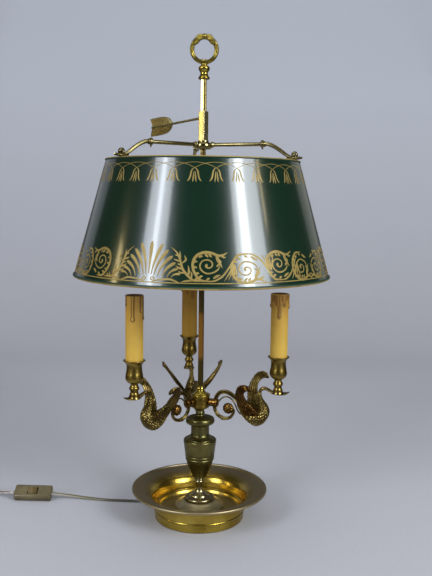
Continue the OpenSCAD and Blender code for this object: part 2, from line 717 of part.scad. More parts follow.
module rosette() {
    k = arm_k;
    translate([arm_x(42.9), 0, arm_h(166.7)]) rotate([90, 0, 0]) turned([
        [0, -4.2 * k], [2.6 * k, -3.8 * k], [5.4 * k, -2.4 * k], [6.8 * k, 0],
        [5.4 * k, 2.4 * k], [2.6 * k, 3.8 * k], [0, 4.2 * k]
    ]);
}

// One wing: inner edge, outer edge and half thickness, from the root to the curled tip
wing_rows = [
    [[73, 7.5, 158.5], [90, 7.5, 158.5], 1.6], [[69, 12.6, 167], [91.5, 12.4, 167], 2.3],
    [[65.5, 19.5, 177], [86.5, 19, 177], 2.4], [[63.6, 27, 187], [79.6, 26, 186], 2.4],
    [[64.2, 33, 196], [77, 31.6, 193.8], 2.2], [[66.8, 38.6, 203.6], [77.2, 36.2, 199.6], 1.9],
    [[71, 42.6, 208.8], [79, 39.6, 202.8], 1.7], [[76, 45.2, 211.8], [81.4, 41.8, 205.2], 1.6],
    [[82, 46.2, 212.6], [84.2, 42.6, 206.2], 1.6], [[87.2, 45.4, 211], [85.6, 42.2, 206.4], 1.9],
    [[88.6, 44, 208.4], [85.8, 42.2, 206.2], 1.4]
];

module wings(i) {
    color(brass_aged) at_arm(i) for (side = [-1, 1]) mirror([0, (1 - side) / 2, 0])
        blade([for (r = wing_rows) [
            [arm_x(r[0][0]), r[0][1] * arm_k, arm_h(r[0][2])],
            [arm_x(r[1][0]), r[1][1] * arm_k, arm_h(r[1][2])], r[2] * arm_k]]);
}

module arm_screws() {
    head_x = hub_in_r - arm_screw_head_t - 0.55;
    color(steel) for (i = [0:arms - 1]) at_arm(i) translate([0, 0, arm_z]) rotate([0, 90, 0]) {
        translate([0, 0, head_x]) cylinder(r = arm_screw_head_r, h = arm_screw_head_t);
        translate([0, 0, head_x]) cylinder(r = arm_screw_r, h = arm_screw_len + arm_screw_head_t);
    }
}

// ---- Candle cups ----

module candle_cup(i) {
    h = cup_h;
    r = cup_r;
    color(brass_gold) at_candle(i) translate([0, 0, cup_z]) turned(concat(
        [[nipple_r + bore_gap, 0], [7, 0], [7.2, 0.8], [6.6, 2.6], [5.7, 4], [5.3, 5.6],
         [5.5, 7.4], [6.6, 9], [7, 10.8], [6.5, 12.4], [5.4, 14], [5, 15.6]],
        smooth([[5.3, 16.8], [8.6, 18.8], [10.9, 21.4], [12.1, 25], [11.8, 29], [10.9, 34],
                [cup_room_r + 1.5, h * 0.8], [cup_room_r + 1.8, h - 6.4], [well_r + 0.8, h - 3],
                [r - 0.9, h - 1.9]], 3),
        [[r, h - 1.2], [r, h - 0.3], [r - 0.6, h], [well_r, h], [well_r, h - well_depth],
         [cup_room_r, h - well_depth], [cup_room_r, cup_room_z - cup_z],
         [nipple_r + bore_gap, cup_room_z - cup_z]]));
}

module candle_nipples() {
    top_z = cup_room_z + bracket_t + nut_t + 1.5;
    color(steel) for (i = [0:arms - 1]) at_candle(i) {
        difference() {
            translate([0, 0, pad_z]) cylinder(r = nipple_r, h = top_z - pad_z);
            translate([0, 0, pad_z - 1]) cylinder(r = nipple_bore_r, h = top_z - pad_z + 2);
        }
        translate([0, 0, cup_room_z + bracket_t]) hex_nut(nut_r, nut_t, nipple_r + seat_gap);
    }
}

module candle_sleeve(i) {
    color(ivory) at_candle(i) translate([0, 0, sleeve_z]) difference() {
        cylinder(r = sleeve_r, h = sleeve_len);
        translate([0, 0, -1]) cylinder(r = sleeve_in_r, h = sleeve_len + 2);
    }
}

module lampholder(i) {
    pocket_z = shell_z - 3;
    color("#e8e2d0") at_candle(i) difference() {
        translate([0, 0, holder_z]) cylinder(r = holder_r, h = holder_h);
        translate([0, 0, shell_z]) cylinder(r = shell_r + shell_wall + seat_gap, h = shell_len + 5);
        translate([0, 0, pocket_z]) cylinder(r = 4, h = 6);
        translate([0, 0, holder_z - 1]) cylinder(r = contact_r + bore_gap, h = holder_h);
        translate([0, 0, holder_z - 1]) difference() {
            cylinder(r = holder_r + 1, h = 9);
            translate([0, 0, -1]) cylinder(r = bracket_x - bracket_t, h = 11);
        }
    }
}

module holder_brackets() {
    top_z = holder_z + 8;
    color(steel) for (i = [0:arms - 1]) at_candle(i) difference() {
        union() {
            translate([0, 0, cup_room_z]) cylinder(r = nut_r, h = bracket_t);
            for (side = [-1, 1]) mirror([(1 - side) / 2, 0, 0]) {
                translate([0, -bracket_w / 2, cup_room_z])
                    cube([bracket_x + bracket_t / 2, bracket_w, bracket_t]);
                translate([bracket_x - bracket_t / 2, -bracket_w / 2, cup_room_z])
                    cube([bracket_t, bracket_w, top_z - cup_room_z - seat_gap]);
            }
        }
        translate([0, 0, cup_room_z - 1]) cylinder(r = nipple_r + bore_gap, h = bracket_t + 2);
    }
}

module holder_contacts() {
    color("#c9a74e") for (i = [0:arms - 1]) at_candle(i) {
        translate([0, 0, shell_z]) difference() {
            cylinder(r = shell_r + shell_wall, h = shell_len);
            translate([0, 0, -1]) cylinder(r = shell_r, h = shell_len + 2);
        }
        translate([0, 0, holder_z + 1]) cylinder(r = contact_r, h = shell_z - holder_z - 1);
        translate([0, 0, shell_z - 3]) cylinder(r = 3.2, h = 2);
    }
}

// ---- Shade and its carrier ----

module shade_shell() {
    low_r = shade_low_r - low_bead_r;
    top_r = shade_top_r - top_bead_r;
    low_z = shade_z + low_bead_r;
    top_z = shade_top_z - top_bead_r;
    color(lacquer) difference() {
        union() {
            turned([
                [low_r - shade_wall / 2, low_z], [low_r + shade_wall / 2, low_z],
                [top_r + shade_wall / 2, top_z], [top_r + shade_wall / 2, shade_top_z],
                [ledge_in_r, shade_top_z], [ledge_in_r, shade_top_z - shade_wall],
                [top_r - shade_wall / 2, shade_top_z - shade_wall],
                [top_r - shade_wall / 2, top_z]
            ]);
            translate([0, 0, low_z]) rotate_extrude($fn = 144) translate([low_r, 0])
                circle(r = low_bead_r, $fn = 20);
            translate([0, 0, top_z]) rotate_extrude($fn = 144) translate([top_r, 0])
                circle(r = top_bead_r, $fn = 20);
        }
        for (i = [0:arms - 1]) at_carrier(i) translate([foot_x, 0, shade_top_z - 5])
            cylinder(r = shade_stud_r + bore_gap, h = 10);
    }
}

module carrier_collar() {
    h = collar_h;
    color(brass_aged) difference() {
        union() {
            translate([0, 0, collar_z]) turned([
                [0, 0], [collar_r - 1.6, 0], [collar_r - 0.8, 1.4], [collar_r, 2.4],
                [collar_r, h - 1.4], [collar_r - 1, h], [8.4, h], [7.6, h + 1],
                [7.6, h + neck_gap_h], [0, h + neck_gap_h]
            ]);
            rotate([0, 0, arrow_turn])
                translate([-sleeve_side / 2, -sleeve_side / 2, rod_sleeve_z - 0.5])
                    cube([sleeve_side, sleeve_side, rod_sleeve_len + 0.5]);
        }
        rotate([0, 0, rod_turn]) translate([-square_hole / 2, -square_hole / 2, collar_z - 1])
            cube([square_hole, square_hole, rod_sleeve_len + collar_h + neck_gap_h + 2]);
        for (i = [0:arms - 1]) at_carrier(i) translate([0, 0, bar_z]) rotate([0, 90, 0])
            translate([0, 0, collar_r - bar_stud_len - 0.3])
                cylinder(r = bar_stud_r + bore_gap, h = bar_stud_len + 2);
        at_arrow() translate([0, 0, -2]) cylinder(r = arrow_thread_r + seat_gap, h = 12);
    }
}

module carrier_bars() {
    start = collar_r + seat_gap;
    color(brass_aged) for (i = [0:arms - 1]) at_carrier(i) translate([0, 0, bar_z])
        rotate([0, 90, 0]) {
            translate([0, 0, start]) cylinder(r = bar_r, h = knuckle_x - start);
            translate([0, 0, collar_r - bar_stud_len])
                cylinder(r = bar_stud_r, h = bar_stud_len + 1);
            translate([0, 0, knuckle_x - 1]) cylinder(r = bar_stud_r, h = bar_stud_len + 1);
        }
}

// The curved end of a carrier bar, from the knuckle to the foot on the shade's rim
module carrier_end(i) {
    x = knuckle_x;
    rise = bar_z - foot_z;
    run = foot_x - x;
    rows = smooth([
        [x + 3, bar_z, 2.5, 2.5], [x + run * 0.2, bar_z + 0.4, 2.5, 2.4],
        [x + run * 0.42, foot_z + rise * 0.86, 2.4, 2.3],
        [x + run * 0.66, foot_z + rise * 0.58, 2.3, 2.2],
        [x + run * 0.86, foot_z + rise * 0.3, 2.1, 2.3], [x + run * 1.06, foot_z + 2.6, 1.6, 2.6]
    ], 3);
    color(brass_aged) at_carrier(i) difference() {
        union() {
            translate([0, 0, bar_z]) rotate([0, 90, 0]) turned([
                [0, x + 0.05], [2.9, x + 0.05], [4.1, x + 1.2], [4.4, x + 2.4], [3.4, x + 3.8],
                [3.1, x + 5.4], [0, x + 5.4]
            ]);
            limb(rows);
            translate([0, 0, foot_z]) linear_extrude(foot_t) polygon([
                [foot_x - 5.5, -4], [foot_x + 8, -4], [foot_x + 13, -2.6], [foot_x + 18.5, -0.8],
                [foot_x + 18.5, 0.8], [foot_x + 13, 2.6], [foot_x + 8, 4], [foot_x - 5.5, 4]
            ]);
            translate([foot_x + 5, 0, foot_z + 6.2]) rotate([90, 0, 0]) volute();
            translate([foot_x, 0, shade_top_z - shade_wall - shade_nut_t - 2])
                cylinder(r = shade_stud_r, h = shade_nut_t + shade_wall + 3);
        }
        translate([0, 0, bar_z]) rotate([0, 90, 0])
            cylinder(r = bar_stud_r + bore_gap, h = x + bar_stud_len + 0.4);
    }
}

module volute() {
    translate([0, 0, -2.4]) difference() {
        cylinder(r = 4.6, h = 4.8);
        translate([0, 0, -1]) cylinder(r = 1.3, h = 7);
    }
}

module shade_nuts() {
    color(steel) for (i = [0:arms - 1]) at_carrier(i)
        translate([foot_x, 0, shade_top_z - shade_wall - shade_nut_t - seat_gap])
            hex_nut(shade_nut_r, shade_nut_t, shade_stud_r + seat_gap);
}

// The arrow's own frame: Z along its shaft, away from the rod
module at_arrow() {
    rotate([0, 0, arrow_turn]) translate([arrow_root, 0, arrow_z])
        rotate([0, 90 + arrow_droop, 0]) children();
}

module arrow_screw() {
    tip_z = arrow_tip_gap + arrow_tip_r * arrow_rake;
    thread_z = arrow_tip_gap + arrow_thread_r * arrow_rake;
    vane_z = arrow_len - vane_len;
    wall = sleeve_side / 2 - arrow_root;
    color(brass_aged) at_arrow() {
        translate([0, 0, tip_z]) cylinder(r = arrow_tip_r, h = wall + 2);
        translate([0, 0, thread_z]) cylinder(r = arrow_thread_r, h = wall + 3);
        translate([0, 0, wall + 1.2]) turned([
            [0, 0], [2.2, 0], [2.9, 0.8], [2.9, 2], [2.2, 2.8], [0, 2.8]
        ]);
        translate([0, 0, wall + 2]) cylinder(r = arrow_shaft_r, h = arrow_len - wall - 3);
        rotate([0, 90, 0]) rotate([90, 0, 0]) translate([0, 0, -vane_t / 2])
            linear_extrude(vane_t) for (side = [-1, 1]) polygon([
                [-vane_z, 0], [-vane_z - 2, side * 4.5], [-vane_z - 7, side * 9.6],
                [-vane_z - 14, side * (vane_half - 0.6)], [-vane_z - vane_len, side * vane_half],
                [-vane_z - vane_len + 4, side * 4.6], [-vane_z - vane_len + 5.5, 0]
            ]);
    }
}

// ---- Finial ----

module finial_neck() {
    h = finial_h;
    color(brass_gold) translate([0, 0, finial_z]) difference() {
        turned(concat(
            [[0, 0], [6.8, 0], [8, 0.8], [8, 2.4], [7.2, 3.6]],
            smooth([[6.2, 4.6], [5.4, h * 0.4], [6, h * 0.52], [7.2, h * 0.64], [7.3, h * 0.72],
                    [6, h * 0.82], [4.4, h * 0.9]], 3),
            [[4.2, h - 1.2], [4.4, h - 0.5], [4.4, h], [0, h]]));
        translate([0, 0, -1]) cylinder(r = rod_stud_r + bore_gap, h = rod_stud_len + 1.5);
        translate([0, 0, h - 5]) cylinder(r = 1.6 + bore_gap, h = 6);
    }
}

module finial_ring() {
    ring_z = finial_z + finial_h + ring_wire_r + ring_r - 1.2;
    color(brass_gold) difference() {
        translate([0, 0, ring_z]) union() {
            rotate([90, 0, 0]) rotate_extrude() translate([ring_r, 0])
                circle(r = ring_wire_r, $fn = 24);
            for (side = [-1, 1]) {
                rotate([0, side * 17, 0]) translate([0, 0, ring_r + 0.6]) rotate([0, 90, 0])
                    translate([0, 0, -7]) leaf(14, 3.9);
                rotate([0, side * 42, 0]) translate([0, 0, ring_r + 0.2]) rotate([0, 90, 0])
                    translate([0, 0, -5.5]) leaf(11, 3.9);
            }
            translate([0, 0, ring_r + 3.6]) sphere(r = 2.2, $fn = 32);
            for (side = [-1, 1]) translate([side * 2.3, 0, -ring_r + 2.6]) sphere(r = 2, $fn = 32);
            translate([0, 0, -ring_r - ring_wire_r - 3]) cylinder(r = 1.6, h = 4.5);
        }
        translate([0, 0, finial_z]) cylinder(r = 4.6, h = finial_h + seat_gap);
    }
    color(brass_gold) translate([0, 0, finial_z + finial_h - 4.4]) cylinder(r = 1.6, h = 6);
}

// A bay leaf as a slim turned spindle along +Z
module leaf(l, r) {
    turned([
        [0, 0], [r * 0.55, l * 0.14], [r * 0.9, l * 0.32], [r, l * 0.5], [r * 0.85, l * 0.7],
        [r * 0.45, l * 0.88], [0, l]
    ]);
}

// ---- Wiring, cord, switch and plug ----

module inner_lead() {
    rise = window_z - lead_top_bend_r;
    color("#b9b2a0") {
        rotate([0, 0, cord_turn]) {
            translate([lead_bend_r, 0, lead_z]) rotate([0, 90, 0])
                cylinder(r = lead_r, h = foot_r + relief_len - lead_bend_r - 0.3);
            translate([lead_bend_r, 0, lead_z + lead_bend_r]) rotate([90, 0, 0])
                rotate([0, 0, 180]) rotate_extrude(angle = 90) translate([lead_bend_r, 0])
                    circle(r = lead_r, $fn = 24);
        }
        translate([0, 0, lead_z + lead_bend_r])
            cylinder(r = lead_r, h = rise - lead_z - lead_bend_r);
        rotate([0, 0, arm_turn + 60]) translate([lead_top_bend_r, 0, rise]) rotate([90, 0, 0])
            rotate([0, 0, 90]) rotate_extrude(angle = 90) translate([lead_top_bend_r, 0])
                circle(r = lead_r, $fn = 24);
        for (i = [0:arms - 1]) rotate([0, 0, arm_turn + 30 + 120 * i])
            translate([splice_ring_r, 0, hub_z + hub_floor_t]) cylinder(r = splice_r, h = splice_len);
    }
}

// A point on the switch's long axis, a distance out from one of its ends
function switch_end(side, out = 0) =
    let (reach = side * (switch_len / 2 + out))
    [switch_at[0] + reach * cos(switch_heading), switch_at[1] + reach * sin(switch_heading),
     switch_at[2], switch_lean];

module lamp_cord() {
    color("#9c8a55") flat_cord(concat(
        [[relief_tip[0], relief_tip[1], relief_tip[2], 0]], lamp_route,
        [switch_end(1, 4), switch_end(1)]));
}

module plug_cord() {
    color("#9c8a55") {
        flat_cord(concat([switch_end(-1), switch_end(-1, 4)], plug_route));
        flat_cord(concat(tail_route, [[plug_rear[0], plug_rear[1], plug_t / 2, 0]]));
    }
}

module cord_coil() {
    color("#9c8a55") translate([coil_at[0], coil_at[1], coil_z]) rotate_extrude()
        translate([coil_mid_r - coil_w / 2, 0]) polygon([
            [1.5, 0], [coil_w - 1.5, 0], [coil_w, 1.5], [coil_w, coil_h - 1.5],
            [coil_w - 1.5, coil_h], [1.5, coil_h], [0, coil_h - 1.5], [0, 1.5]
        ]);
}

module coil_tie() {
    color("#2b2b2b") translate([coil_at[0] + coil_mid_r, coil_at[1], 0])
        rotate([90, 0, 0]) translate([0, 0, -tie_w / 2]) linear_extrude(tie_w) difference() {
            translate([-coil_w / 2 - 0.3 - tie_t, 0])
                square([coil_w + 0.6 + 2 * tie_t, coil_h + 2 * tie_t + 0.3]);
            translate([-coil_w / 2 - 0.3, tie_t]) square([coil_w + 0.6, coil_h + 0.3]);
        }
}

module plug_body() {
    half = plug_w / 2;
    color("#c7b98a") translate([plug_rear[0], plug_rear[1], 0]) difference() {
        linear_extrude(plug_t) polygon([
            [0, -4.5], [6, -5.4], [13, -10.5], [17, -half + 2.4], [21, -half], [plug_len, -half],
            [plug_len, half], [21, half], [17, half - 2.4], [13, 10.5], [6, 5.4], [0, 4.5]
        ]);
        for (side = [-1, 1]) translate([plug_len - 8, side * pin_spacing / 2, plug_t / 2])
            rotate([0, 90, 0]) cylinder(r = pin_r + seat_gap, h = 9);
    }
}

module plug_pins() {
    color("#b9b9ba") for (side = [-1, 1])
        translate([plug_rear[0] + plug_len - 7.5, plug_rear[1] + side * pin_spacing / 2, plug_t / 2])
            rotate([0, 90, 0]) turned([
                [0, 0], [pin_r, 0], [pin_r, 7.5 + pin_len - 1.2], [pin_r - 1, 7.5 + pin_len],
                [0, 7.5 + pin_len]
            ]);
}

module at_switch() {
    translate(switch_at) rotate([0, 0, switch_heading]) rotate([switch_lean, 0, 0]) children();
}

// Cross-section of a switch shell, on the Y and Z axes, as an extrusion along X
module switch_block(points, length) {
    translate([-length / 2, 0, 0]) rotate([90, 0, 90]) linear_extrude(length) polygon(points);
}

module switch_top() {
    w = switch_w / 2;
    t = switch_t / 2;
    inner = w - switch_wall;
    color(moulded) at_switch() difference() {
        switch_block([
            [-w, 0], [w, 0], [w, t - 2], [w - 0.6, t - 0.6], [w - 2, t], [2 - w, t],
            [0.6 - w, t - 0.6], [-w, t - 2]
        ], switch_len);
        translate([-switch_len / 2 + switch_wall, -inner, -1])
            cube([switch_len - 2 * switch_wall, 2 * inner, t - switch_wall + 1]);
        translate([-slot_half(), -rocker_w / 2 - rocker_gap, 0])
            cube([2 * slot_half(), rocker_w + 2 * rocker_gap, t + 1]);
    }
    color(moulded) at_switch() difference() {
        for (side = [-1, 1])
            translate([-2.6, side > 0 ? rocker_w / 2 + rocker_gap : -inner, 0])
                cube([5.2, inner - rocker_w / 2 - rocker_gap, t - switch_wall + 0.5]);
        translate([0, inner, rocker_pivot]) rotate([90, 0, 0])
            cylinder(r = rocker_pin_r + seat_gap, h = 2 * inner);
    }
    color(moulded) at_switch() for (side = [-1, 1]) difference() {
        translate([side * switch_screw_x(), 0, 0]) cylinder(r = 3, h = t - switch_wall + 0.5);
        translate([side * switch_screw_x(), 0, -1]) cylinder(r = 1.25, h = t - switch_wall);
    }
}

function slot_half() = rocker_r + rocker_gap;
function switch_screw_x() = switch_len / 2 - 8;

module switch_base() {
    w = switch_w / 2;
    t = switch_t / 2;
    inner = w - switch_wall - switch_chamfer_w;
    color(moulded) at_switch() difference() {
        switch_block([
            [w, -0.02], [-w, -0.02], [-w, -t + switch_chamfer_t], [-w + switch_chamfer_w, -t],
            [w - switch_chamfer_w, -t], [w, -t + switch_chamfer_t]
        ], switch_len);
        for (side = [-1, 1]) translate([side * switch_screw_x(), 0, -t - 1]) {
            cylinder(r = 1.3, h = t + 2);
            cylinder(r = 2.4, h = 3);
        }
        translate([-switch_len / 2 + 13, -inner, -t + switch_wall])
            cube([switch_len - 26, 2 * inner, t]);
    }
}

module switch_rocker() {
    w = rocker_w / 2;
    flat = 3;
    color("#8a6a2c") at_switch() translate([0, 0, rocker_pivot]) rotate([0, -rocker_tilt, 0]) {
        intersection() {
            rotate([90, 0, 0]) translate([0, 0, -w]) cylinder(r = rocker_r, h = 2 * w);
            rotate([90, 0, 0]) translate([0, 0, -w]) linear_extrude(2 * w) polygon([
                [-12, -4], [12, -4], [12, flat + 12 * tan(rocker_tilt)], [0, flat],
                [-12, flat + 12 * tan(rocker_tilt)]
            ]);
        }
        translate([0, w + 2.4, 0]) rotate([90, 0, 0]) cylinder(r = rocker_pin_r, h = 2 * w + 4.8);
    }
}

module switch_screws() {
    t = switch_t / 2;
    color(steel) at_switch() for (side = [-1, 1]) translate([side * switch_screw_x(), 0, 0]) {
        translate([0, 0, -t + 0.4]) cylinder(r = 2.3, h = 1.6);
        translate([0, 0, -t + 0.4]) cylinder(r = 1.2, h = t + 2);
    }
}

// ---- One line for each part ----

felt_pad();
foot_ring();
base_weight();
bowl();
plinth();
base_screws();
strain_relief();
tie_tube();
tie_nut();
pedestal();
vase();
column_neck();
cushion();
hub_body();
hub_cap();
square_rod();
swan_arm(0);  // swan_arm_1
swan_arm(1);  // swan_arm_2
swan_arm(2);  // swan_arm_3
wings(0);  // wings_1
wings(1);  // wings_2
wings(2);  // wings_3
arm_screws();
candle_cup(0);  // candle_cup_1
candle_cup(1);  // candle_cup_2
candle_cup(2);  // candle_cup_3
candle_nipples();
candle_sleeve(0);  // candle_sleeve_1
candle_sleeve(1);  // candle_sleeve_2
candle_sleeve(2);  // candle_sleeve_3
lampholder(0);  // lampholder_1
lampholder(1);  // lampholder_2
lampholder(2);  // lampholder_3
holder_brackets();
holder_contacts();
shade_shell();
carrier_collar();
carrier_bars();
carrier_end(0);  // carrier_end_1
carrier_end(1);  // carrier_end_2
carrier_end(2);  // carrier_end_3
shade_nuts();
arrow_screw();
finial_neck();
finial_ring();
inner_lead();
lamp_cord();
plug_cord();
cord_coil();
coil_tie();
plug_body();
plug_pins();
switch_top();
switch_base();
switch_rocker();
switch_screws();
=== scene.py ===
# %% [markdown]
# # Bouillotte lamp
# This notebook builds the looks of a three-light bouillotte lamp around its packed
# CAD model: the finish of every surface, the castings' relief, the gilt ornament, the
# wax runs and the flex. The model says where every piece is, and nothing here moves
# or resizes it. All lengths below are millimetres in the model's own frame, and `MM`
# turns them into Blender's metres.

import math

import bmesh
import bpy
import numpy as np
from mathutils import Matrix, Vector


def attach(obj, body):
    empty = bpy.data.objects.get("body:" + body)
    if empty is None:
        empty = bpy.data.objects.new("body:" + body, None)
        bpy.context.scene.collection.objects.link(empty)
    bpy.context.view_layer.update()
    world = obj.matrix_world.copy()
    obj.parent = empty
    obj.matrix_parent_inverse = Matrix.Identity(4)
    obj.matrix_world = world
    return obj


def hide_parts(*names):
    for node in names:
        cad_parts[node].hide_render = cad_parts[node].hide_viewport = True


MM = 0.001
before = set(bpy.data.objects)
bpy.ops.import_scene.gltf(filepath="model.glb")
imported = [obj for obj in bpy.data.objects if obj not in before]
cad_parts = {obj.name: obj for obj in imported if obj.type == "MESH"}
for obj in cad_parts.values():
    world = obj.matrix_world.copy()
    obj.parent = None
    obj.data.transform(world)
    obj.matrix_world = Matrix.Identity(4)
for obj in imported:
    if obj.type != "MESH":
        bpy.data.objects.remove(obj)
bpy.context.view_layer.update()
print("pieces in the model:", len(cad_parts))

# %% [markdown]
# ## Camera
# A camera is a point, a lens and three directions. A tracking constraint could aim it,
# but would keep it level, and a camera held by hand rolls a little. So the directions
# are worked out from three angles and written into its matrix, one column each.

# %% Where the camera stands and looks
PITCH, YAW, ROLL = 6.85, 1.08, 0.78
CAMERA_AT = (0, -1.08774, 0.46939)
pitch, yaw, roll = (math.radians(angle) for angle in (PITCH, YAW, ROLL))
forward = np.array(
    [math.sin(yaw) * math.cos(pitch), math.cos(yaw) * math.cos(pitch), -math.sin(pitch)]
)
level = np.array([math.cos(yaw), -math.sin(yaw), 0.0])
upward = np.cross(level, forward)
right = level * math.cos(roll) + upward * math.sin(roll)
above = upward * math.cos(roll) - level * math.sin(roll)
print("the camera looks along", forward.round(3))

# %% The camera itself


def in_scene(name, data):
    """A new object in the scene."""
    obj = bpy.data.objects.new(name, data)
    bpy.context.scene.collection.objects.link(obj)
    return obj


camera = in_scene("camera", bpy.data.cameras.new("camera"))
camera.data.sensor_width = 36
camera.data.lens = 47.866
camera.data.clip_end = 60
camera_matrix = Matrix.Identity(4)
for row in range(3):
    for column, direction in enumerate((right, above, -forward, CAMERA_AT)):
        camera_matrix[row][column] = direction[row]
camera.matrix_world = camera_matrix
bpy.context.scene.camera = camera
print("lens:", camera.data.lens, "mm on a", camera.data.sensor_width, "mm sensor")

# %% [markdown]
# ## Lines and skins
# A mesh is only points and the faces between them. Modifiers could turn, sweep and
# bevel these pieces, but give all edges one radius, and every real edge has its own.
# So short functions make the points: one draws a smooth line through a few of them,
# and one rounds the corners of an outline.

# %% Smooth lines and rounded corners
SHORTEST = 1e-4
EDGE_SHARE = 0.42


def curve(points, steps=8):
    """A smooth curve through the points, of any dimension."""
    p = np.asarray(points, float)
    padded = np.vstack([p[0], p, p[-1]])
    out = []
    for a, b, c, d in zip(padded, padded[1:], padded[2:], padded[3:]):
        slope, bend, twist = c - a, 2 * a - 5 * b + 4 * c - d, 3 * b - a - 3 * c + d
        for t in np.arange(steps) / steps:
            out.append(0.5 * (2 * b + slope * t + bend * t**2 + twist * t**3))
    return np.array([*out, p[-1]])


def heading(points):
    """The direction of a line at each of its points."""
    t = np.gradient(np.asarray(points, float), axis=0)
    return t / np.linalg.norm(t, axis=1)[:, None]


def soften(points, radius, steps=3, least=22):
    """A closed outline with its corners of `least` degrees or more rounded."""
    p = np.asarray(points, float)
    p = p[np.linalg.norm(p - np.roll(p, 1, 0), axis=1) > SHORTEST]
    out = []
    for i, b in enumerate(p):
        u, w = p[i - 1] - b, p[(i + 1) % len(p)] - b
        lu, lw = np.linalg.norm(u), np.linalg.norm(w)
        bend = 180 - math.degrees(math.acos(np.clip(u @ w / lu / lw, -1, 1)))
        if bend < least:
            out.append(b)
            continue
        r = min(radius, EDGE_SHARE * lu, EDGE_SHARE * lw)
        start, end = b + u / lu * r, b + w / lw * r
        for t in np.linspace(0, 1, steps + 1):
            out.append((1 - t) ** 2 * start + 2 * t * (1 - t) * b + t**2 * end)
    return np.array(out)


print("a softened square:", len(soften([[0, 0], [9, 0], [9, 9], [0, 9]], 1)), "points")

# %% Circles and skins over rings of points


def angles(count):
    """Equal angles all round, in radians."""
    return np.linspace(0, 2 * math.pi, count, endpoint=False)


def polar(r, a, z):
    """Points at a radius, an angle and a height, which may be arrays."""
    return np.stack(np.broadcast_arrays(r * np.cos(a), r * np.sin(a), z), -1)


def circle(sides):
    return polar(1, angles(sides), 0)[:, :2]


def grid(rows, cols, wrap_rows=False, wrap_cols=True):
    """Quads over a grid of points."""
    i = np.arange(rows if wrap_rows else rows - 1)[:, None]
    k = np.arange(cols if wrap_cols else cols - 1)[None, :]
    j, n = (i + 1) % rows, (k + 1) % cols
    corners = [i * cols + k, i * cols + n, j * cols + n, j * cols + k]
    return np.stack(corners, -1).reshape(-1, 4).tolist()


def skin(rings):
    """A closed skin over rings of points, an array of (rings, points, 3)."""
    n, m = rings.shape[:2]
    faces = grid(n, m)
    faces += [list(range(m)), list(range((n - 1) * m, n * m))[::-1]]
    return rings.reshape(-1, 3), faces


print("a ring of 24 points joined to the next:", len(grid(2, 24)), "faces")

# %% Turning points into place


def turned_about(points, turn):
    """Points turned about Z, in degrees."""
    p = np.asarray(points, float)
    a = math.radians(turn)
    c, s = math.cos(a), math.sin(a)
    return np.stack([p[..., 0] * c - p[..., 1] * s, p[..., 0] * s + p[..., 1] * c, p[..., 2]], -1)


def tilted(points, axis, angle):
    """Points turned about the X, Y or Z axis, in degrees."""
    m = np.array(Matrix.Rotation(math.radians(angle), 3, axis))
    return np.asarray(points, float) @ m.T


print("a quarter turn takes X to", turned_about([1, 0, 0], 90).round(3))

# %% [markdown]
# ## One object from many shapes
# A casting is one piece of metal, but it is easier to model as a body, leaves and
# beads. Joining objects would work, yet it loses track of which part is which metal.
# `Build` gathers the shapes as numbers and makes one mesh at the end. It also keeps
# `relief`, which tells a finish where a surface lies low, to darken it there with patina
# and painted shade. Only edges above `sharp` degrees stay sharp.

# %% Gathering shapes
WELD = 1e-6
EVEN_RELIEF = 0.5


class Build:
    """One object in the making."""

    def __init__(self):
        self.points, self.faces, self.slots, self.relief, self.count = [], [], [], [], 0

    def add(self, shape, material=0, relief=EVEN_RELIEF, place=np.asarray):
        """Adds points and faces; `place` may move the points."""
        points, faces = place(shape[0]).reshape(-1, 3), shape[1]
        self.points.append(points)
        self.faces += [[i + self.count for i in f] for f in faces]
        self.slots += [material] * len(faces)
        self.relief.append(np.full(len(points), relief) if np.isscalar(relief) else np.ravel(relief))
        self.count += len(points)
        return self

    def mesh(self, name, turn):
        """The mesh, in metres, with its points welded and its faces turned outward."""
        mesh = bpy.data.meshes.new(name)
        points = turned_about(np.concatenate(self.points), turn)
        mesh.from_pydata((points * MM).tolist(), [], self.faces)
        mesh.polygons.foreach_set("material_index", self.slots)
        relief = mesh.attributes.new("relief", "FLOAT", "POINT")
        relief.data.foreach_set("value", np.concatenate(self.relief).astype(np.float32))
        bm = bmesh.new()
        bm.from_mesh(mesh)
        bmesh.ops.remove_doubles(bm, verts=bm.verts, dist=WELD)
        bmesh.ops.recalc_face_normals(bm, faces=bm.faces)
        bm.to_mesh(mesh)
        bm.free()
        return mesh

    def make(self, name, materials, body="stand", replaces=(), slot=None, sharp=38, turn=0):
        """The object, which rides on its body and stands for the CAD pieces it replaces."""
        mesh = self.mesh(name, turn)
        mesh.polygons.foreach_set("use_smooth", [True] * len(mesh.polygons))
        mesh.set_sharp_from_angle(angle=math.radians(sharp))
        for material in materials if isinstance(materials, list) else [materials]:
            mesh.materials.append(material)
        obj = in_scene(name, mesh)
        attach(obj, body)
        if replaces:
            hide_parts(*replaces)
        print(f"{name}: {len(mesh.polygons)} faces, on {body}")
        return obj

# %% [markdown]
# ## Materials
# A finish could be a picture wrapped round the piece, but pictures blur close up and
# stretch over castings. Here each finish is a small network of shader nodes that
# works from the point's place in space, so it stays sharp at any distance. Colours
# are sRGB codes, turned into the linear values that Blender works with, and one
# function adds a node of any kind and hands back one of its outputs.

# %% One way to write a colour, and one to add a node


def linear(code):
    """A linear colour from an sRGB hex code."""
    parts = [int(code[i : i + 2], 16) / 255 for i in (1, 3, 5)]
    return (*[v / 12.92 if v <= 0.04045 else ((v + 0.055) / 1.055) ** 2.4 for v in parts], 1)


